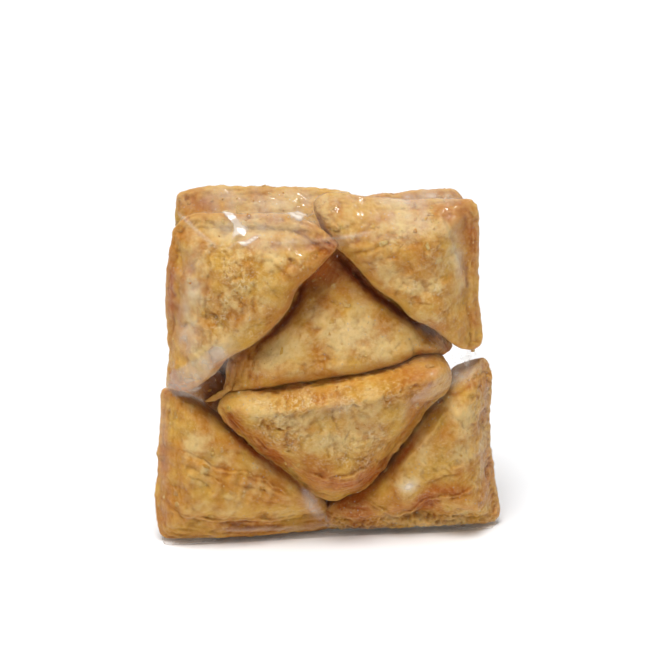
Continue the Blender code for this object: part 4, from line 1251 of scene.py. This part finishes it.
def on_photograph(points):
    """Where points in mm fall on the photograph."""
    away = points - EYE
    depth = -(away @ BACKWARD)
    focal = PX_PER_MM * DISTANCE
    return 331.5 + focal * (away @ RIGHT) / depth, 331.5 - focal * (away @ UP) / depth


# milky places where the film stands off the pastry or is folded; along the top bands they also brighten the tops as
# painted light from above: centre, radii, turn, strength
MILKY_AND_TOP_LIGHT = (
    ((186, 380), (15, 9), -12, 0.16), ((311, 505), (8, 14), -30, 0.16), ((462, 374), (20, 10), -25, 0.12), ((434, 394), (30, 6), -33, 0.18),
    ((190, 300), (11, 42), 5, 0.30), ((188, 340), (9, 12), 20, 0.22), ((222, 356), (13, 15), 30, 0.26), ((460, 262), (7, 34), -8, 0.24), ((486, 430), (6, 60), 0, 0.20),
    ((350, 335), (34, 16), 5, 0.06), ((412, 196), (60, 9), 0, 0.36), ((240, 198), (75, 13), 0, 0.24), ((290, 202), (24, 12), 0, 0.26), ((408, 216), (42, 18), 0, 0.24), ((265, 226), (60, 14), 0, 0.22), ((420, 360), (30, 7), -15, 0.04),
    ((296, 243), (44, 6), -3, 0.24), ((335, 405), (34, 10), 0, 0.06), ((410, 486), (8, 4.5), -15, 0.6), ((250, 540), (95, 4), -2, 0.4),
    ((436, 333), (18, 7), 38, 0.18), ((430, 530), (80, 4), -2, 0.4), ((240, 228), (16, 14), 0, 0.16), ((395, 236), (40, 5), -8, 0.08),
    ((163, 440), (5, 80), 0, 0.16), ((168, 300), (5, 60), 0, 0.10), ((480, 260), (5, 60), 0, 0.14), ((498, 490), (4, 40), 0, 0.16),
)
# doubled or crumpled patches of film with a clear outline, and near-white patches of painted glint on the upper left:
# the outline, how soft it is, strength
SHEETS_AND_PAINTED_GLINTS = (
    (((168, 374), (184, 366), (200, 356), (213, 346), (222, 347), (229, 356), (216, 365), (205, 377), (201, 387), (190, 395), (176, 396), (164, 386)), 1.6, 0.27),
    (((196, 396), (206, 408), (202, 400)), 2.0, 0.5), (((182, 384), (194, 374), (205, 378), (200, 388), (190, 396), (178, 394)), 3.0, 0.08), (((208, 376), (215, 374), (217, 384), (210, 388)), 2.5, 0.05),
    # the next three near-white patches are painted glints on the film
    (((223, 211), (233, 213), (239, 221), (247, 228), (243, 236), (233, 238), (232, 226), (224, 217)), 2.0, 1.0),
    (((236, 246), (250, 240), (262, 234), (254, 240), (240, 249)), 2.0, 0.8), (((288, 214), (298, 211), (306, 215), (300, 220), (290, 219)), 2.0, 0.9),
    (((302, 488), (308, 490), (316, 500), (324, 514), (322, 522), (310, 512), (303, 500)), 4.0, 0.26),
    (((404, 404), (424, 388), (448, 372), (482, 362), (484, 370), (466, 378), (448, 388), (420, 402)), 5.0, 0.20),
    (((449, 352), (462, 350), (478, 352), (477, 360), (466, 366), (456, 368), (449, 362)), 4.0, 0.4),
)
# folds of the film that stand up from it: width in mm, height in mm, the line
CREASES = (
    (0.9, 0.9, ((174, 208), (186, 220), (204, 238), (222, 250))), (0.8, 0.8, ((224, 250), (236, 246), (250, 239), (262, 234))),
    (1.0, 0.8, ((256, 243), (280, 243), (306, 242), (326, 239), (346, 237), (366, 234), (386, 228))), (0.9, 0.9, ((226, 212), (233, 224), (238, 238))),
    (0.8, 0.6, ((245, 218), (268, 215), (300, 214), (322, 226))), (0.8, 0.6, ((168, 372), (184, 380), (204, 378), (226, 366))),
    (0.8, 0.7, ((176, 390), (196, 396), (206, 404))), (0.8, 0.7, ((302, 486), (312, 500), (324, 516), (334, 526))),
    (0.8, 0.6, ((446, 388), (462, 376), (480, 368))), (0.7, 0.5, ((450, 350), (452, 362), (460, 367), (472, 362), (482, 354))),
    (0.8, 0.5, ((205, 530), (250, 529), (300, 529), (330, 524), (350, 530))), (0.8, 0.4, ((178, 345), (186, 330), (200, 318))),
)
# flat facets that face the lamp
FACETS = (((231, 220), (10, 7), 25), ((239, 231), (8, 9), 0), ((243, 244), (12, 3.2), -28), ((297, 216), (10, 4.5), 5), ((270, 199), (6, 2.5), 0))


def film_relax(points, tris, rounds, pull, stiff):
    """Draws the film in until it lies on the pastry or is stretched between."""
    pairs = mesh_pairs(tris)
    pinned = points[:, 2] < 0.2
    for _ in range(rounds):
        normals = tri_normals(points, tris)
        moved = points + stiff * (neighbour_mean(points, pairs) - points) - pull * normals
        gap, near = clearance(moved)
        short = np.clip(0.35 - gap, 0, 3.0)
        short = np.maximum(short, 0.6 * neighbour_mean(short[:, None], pairs)[:, 0])
        moved = moved + short[:, None] * normals
        moved[:, 2] = np.maximum(moved[:, 2], 0.25)
        points = np.where(pinned[:, None], points, moved)
    return points


def build_film():
    points, tris = cad_surface()
    points, tris = halve(points, tris)
    # first well outside all pastry, then drawn in by small steps
    points = points + 3.5 * smooth(points[:, 2:] / 14.0) * tri_normals(points, tris)
    points[:, 2] = np.maximum(points[:, 2], 0.02)
    points = film_relax(points, tris, 24, 0.30, 0.4)
    points, tris = halve(points, tris)
    points = film_relax(points, tris, 5, 0.10, 0.5)
    pairs = mesh_pairs(tris)
    # no stray spikes
    for _ in range(6):
        even = neighbour_mean(points, pairs)
        stray = (np.linalg.norm(points - even, axis=1) > 0.9) & (points[:, 2] > 0.2)
        points = np.where(stray[:, None], even, points)
    for _ in range(8):
        low = (points[:, 2] > 0.05) & (points[:, 2] < 9)
        points = np.where(low[:, None], 0.5 * points + 0.5 * neighbour_mean(points, pairs), points)
    normals = tri_normals(points, tris)
    x, y = on_photograph(points)
    ahead = smooth((normals @ BACKWARD + 0.1) / 0.3) * ((points[:, 1] < 12) | (points[:, 2] > 140))
    for i in np.flatnonzero(ahead > 0):
        way = EYE - points[i]
        if tree.ray_cast(Vector(points[i] + 0.6 * BACKWARD), Vector(way / np.linalg.norm(way)))[0] is not None:
            ahead[i] = 0.0
    ahead = neighbour_mean(ahead[:, None], pairs, 2)[:, 0]
    raised, crease_haze_and_glint = np.zeros(len(points)), np.zeros(len(points))
    for width, high, line in CREASES:
        line = rounded(line)
        away, along, length = off_line(x, y, line * 1.0)
        ends = smooth(along / (0.2 * length)) * smooth((length - along) / (0.2 * length))
        away = away / PX_PER_MM
        raised += ahead * high * ends * np.exp(-(away / width) ** 2)
        # a milky line along each crease, partly a painted highlight on the fold
        crease_haze_and_glint = np.maximum(crease_haze_and_glint, ahead * ends * 0.32 * np.exp(-(away / 0.9) ** 2))
    points = points + raised[:, None] * normals
    flat = np.zeros(len(points))
    for (cx, cy), (rx, ry), angle in FACETS:
        turn = math.radians(angle)
        r = np.hypot(
            ((x - cx) * math.cos(turn) + (y - cy) * math.sin(turn)) / rx, (-(x - cx) * math.sin(turn) + (y - cy) * math.cos(turn)) / ry,
        )
        spot = (normals @ BACKWARD > 0.35) & (r < 1.6) & (ahead > 0.3)
        core = spot & (r < 0.8)
        if not core.any():
            continue
        nearest = ((EYE - points[core]) @ BACKWARD).min()
        spot &= (EYE - points) @ BACKWARD < nearest + 12
        core &= spot
        middle = points[core].mean(0)
        to_lamp = LAMP_AT - middle
        half_way = to_lamp / np.linalg.norm(to_lamp) + BACKWARD
        half_way /= np.linalg.norm(half_way)
        lift = -((points - middle) @ half_way)
        share = np.where(spot, 1 - smooth((r - 0.9) / 0.4), 0)
        flat = np.maximum(flat, share)
        points = points + (share * np.clip(lift + 1.0, -0.8, 3.5))[:, None] * half_way
    gap, near = clearance(points)
    points = points + (np.clip(0.25 - gap, 0, 0.8) * (points[:, 2] > 0.2))[:, None] * normals
    for _ in range(5):
        even = neighbour_mean(points, pairs)
        stray = (np.linalg.norm(points - even, axis=1) > 0.8) & (points[:, 2] > 0.05) & (flat < 0.05)
        points = np.where(stray[:, None], even, points)
    # small tents that stand off the pastry for no reason are let down
    for _ in range(4):
        even = neighbour_mean(points, pairs, 5)
        stray = (np.linalg.norm(points - even, axis=1) > 0.5) & (np.abs(clearance(points)[0]) > 0.45) & (points[:, 2] > 0.3) & (flat < 0.05) & (raised < 0.1)
        points = np.where(stray[:, None], even, points)
    gap_wide = neighbour_mean(gap[:, None], pairs, 3)[:, 0]
    # haze_and_glints: how milky the film is, with painted glints in the near-white patches
    haze_and_glints = 0.002 + 0.003 * smooth((gap_wide - 1.5) / 4.0)
    haze_and_glints += 0.016 * smooth(0.05 + 1.4 * noise3(points / 16.0, 901)) * smooth(0.3 + 1.2 * noise3(points / 5.0, 905))
    for (cx, cy), (rx, ry), angle, strength in MILKY_AND_TOP_LIGHT:
        turn = math.radians(angle)
        a = ((x - cx) * math.cos(turn) + (y - cy) * math.sin(turn)) / rx
        b = (-(x - cx) * math.sin(turn) + (y - cy) * math.cos(turn)) / ry
        haze_and_glints += ahead * strength * np.exp(-(a * a + b * b)) * (0.75 + 0.5 * noise3(points / 4.0, 907))
    for line, soft, strength in SHEETS_AND_PAINTED_GLINTS:
        line = np.array(line + line[:1], float)
        away, _, _ = off_line(x, y, line)
        turn = np.zeros(len(points))
        for (x0, y0), (x1, y1) in zip(line[:-1], line[1:]):
            a, b = np.arctan2(y0 - y, x0 - x), np.arctan2(y1 - y, x1 - x)
            turn += (b - a + math.pi) % (2 * math.pi) - math.pi
        away = np.where(np.abs(turn) > 3, np.abs(away), -np.abs(away))
        haze_and_glints += ahead * strength * smooth(away / soft + 0.5) * (0.8 + 0.5 * noise3(points / 3.0, 909))
    haze_and_glints = np.maximum(haze_and_glints, crease_haze_and_glint)
    obj = add_mesh("bag_film", points, tris, {"haze_and_glints": np.clip(haze_and_glints, 0, 0.9), "gap": np.clip(gap_wide, 0, 20)})
    obj.data.materials.append(film_material())
    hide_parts("bag")
    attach(obj, "root")
    print("bag_film", len(points), "points", len(tris), "triangles; gap", gap.min().round(2), np.median(gap).round(2))
    return obj


LAMP_AT = np.array((560.0, 180.0, 1140.0))
build_film()

# ------------------------------------------------------------------ floor, light, world


def make_stage():
    mesh = bpy.data.meshes.new("floor")
    size = 6.0
    mesh.from_pydata([(-size, -size, 0), (size, -size, 0), (size, size, 0), (-size, size, 0)], [], [(0, 1, 2, 3)])
    floor = bpy.data.objects.new("floor", mesh)
    bpy.context.scene.collection.objects.link(floor)
    m = Nodes("floor_white")
    shader = m.add("ShaderNodeBsdfPrincipled", {"Base Color": (0.925, 0.935, 0.95, 1), "Roughness": 0.9})
    shader.inputs["Specular IOR Level"].default_value = 0.1
    out = m.add("ShaderNodeOutputMaterial")
    m.tree.links.new(shader.outputs[0], out.inputs["Surface"])
    mesh.materials.append(m.material)

    world = bpy.data.worlds.new("studio")
    world.use_nodes = True
    background = world.node_tree.nodes["Background"]
    background.inputs["Color"].default_value = (1.0, 1.0, 1.0, 1)
    background.inputs["Strength"].default_value = 0.33
    bpy.context.scene.world = world

    def turned(name, data, at, aim):
        light = bpy.data.objects.new(name, data)
        light.location = at
        light.rotation_euler = (Vector(aim) - Vector(at)).to_track_quat("-Z", "Y").to_euler()
        bpy.context.scene.collection.objects.link(light)
        return light

    sun = bpy.data.lights.new("sky_light", "SUN")
    sun.energy, sun.angle = 3.05, math.radians(30)
    turned("sky_light", sun, (-0.30, -0.58, 2.3), (0, 0, 0)).visible_glossy = False
    lamp = bpy.data.lights.new("lamp", "AREA")
    lamp.shape, lamp.size, lamp.size_y, lamp.energy = "RECTANGLE", 0.16, 0.12, 14.0
    turned("lamp", lamp, tuple(LAMP_AT * MM), (-0.03, 0, 0.14)).visible_diffuse = False
    bpy.context.scene.view_settings.view_transform = "Standard"


make_stage()
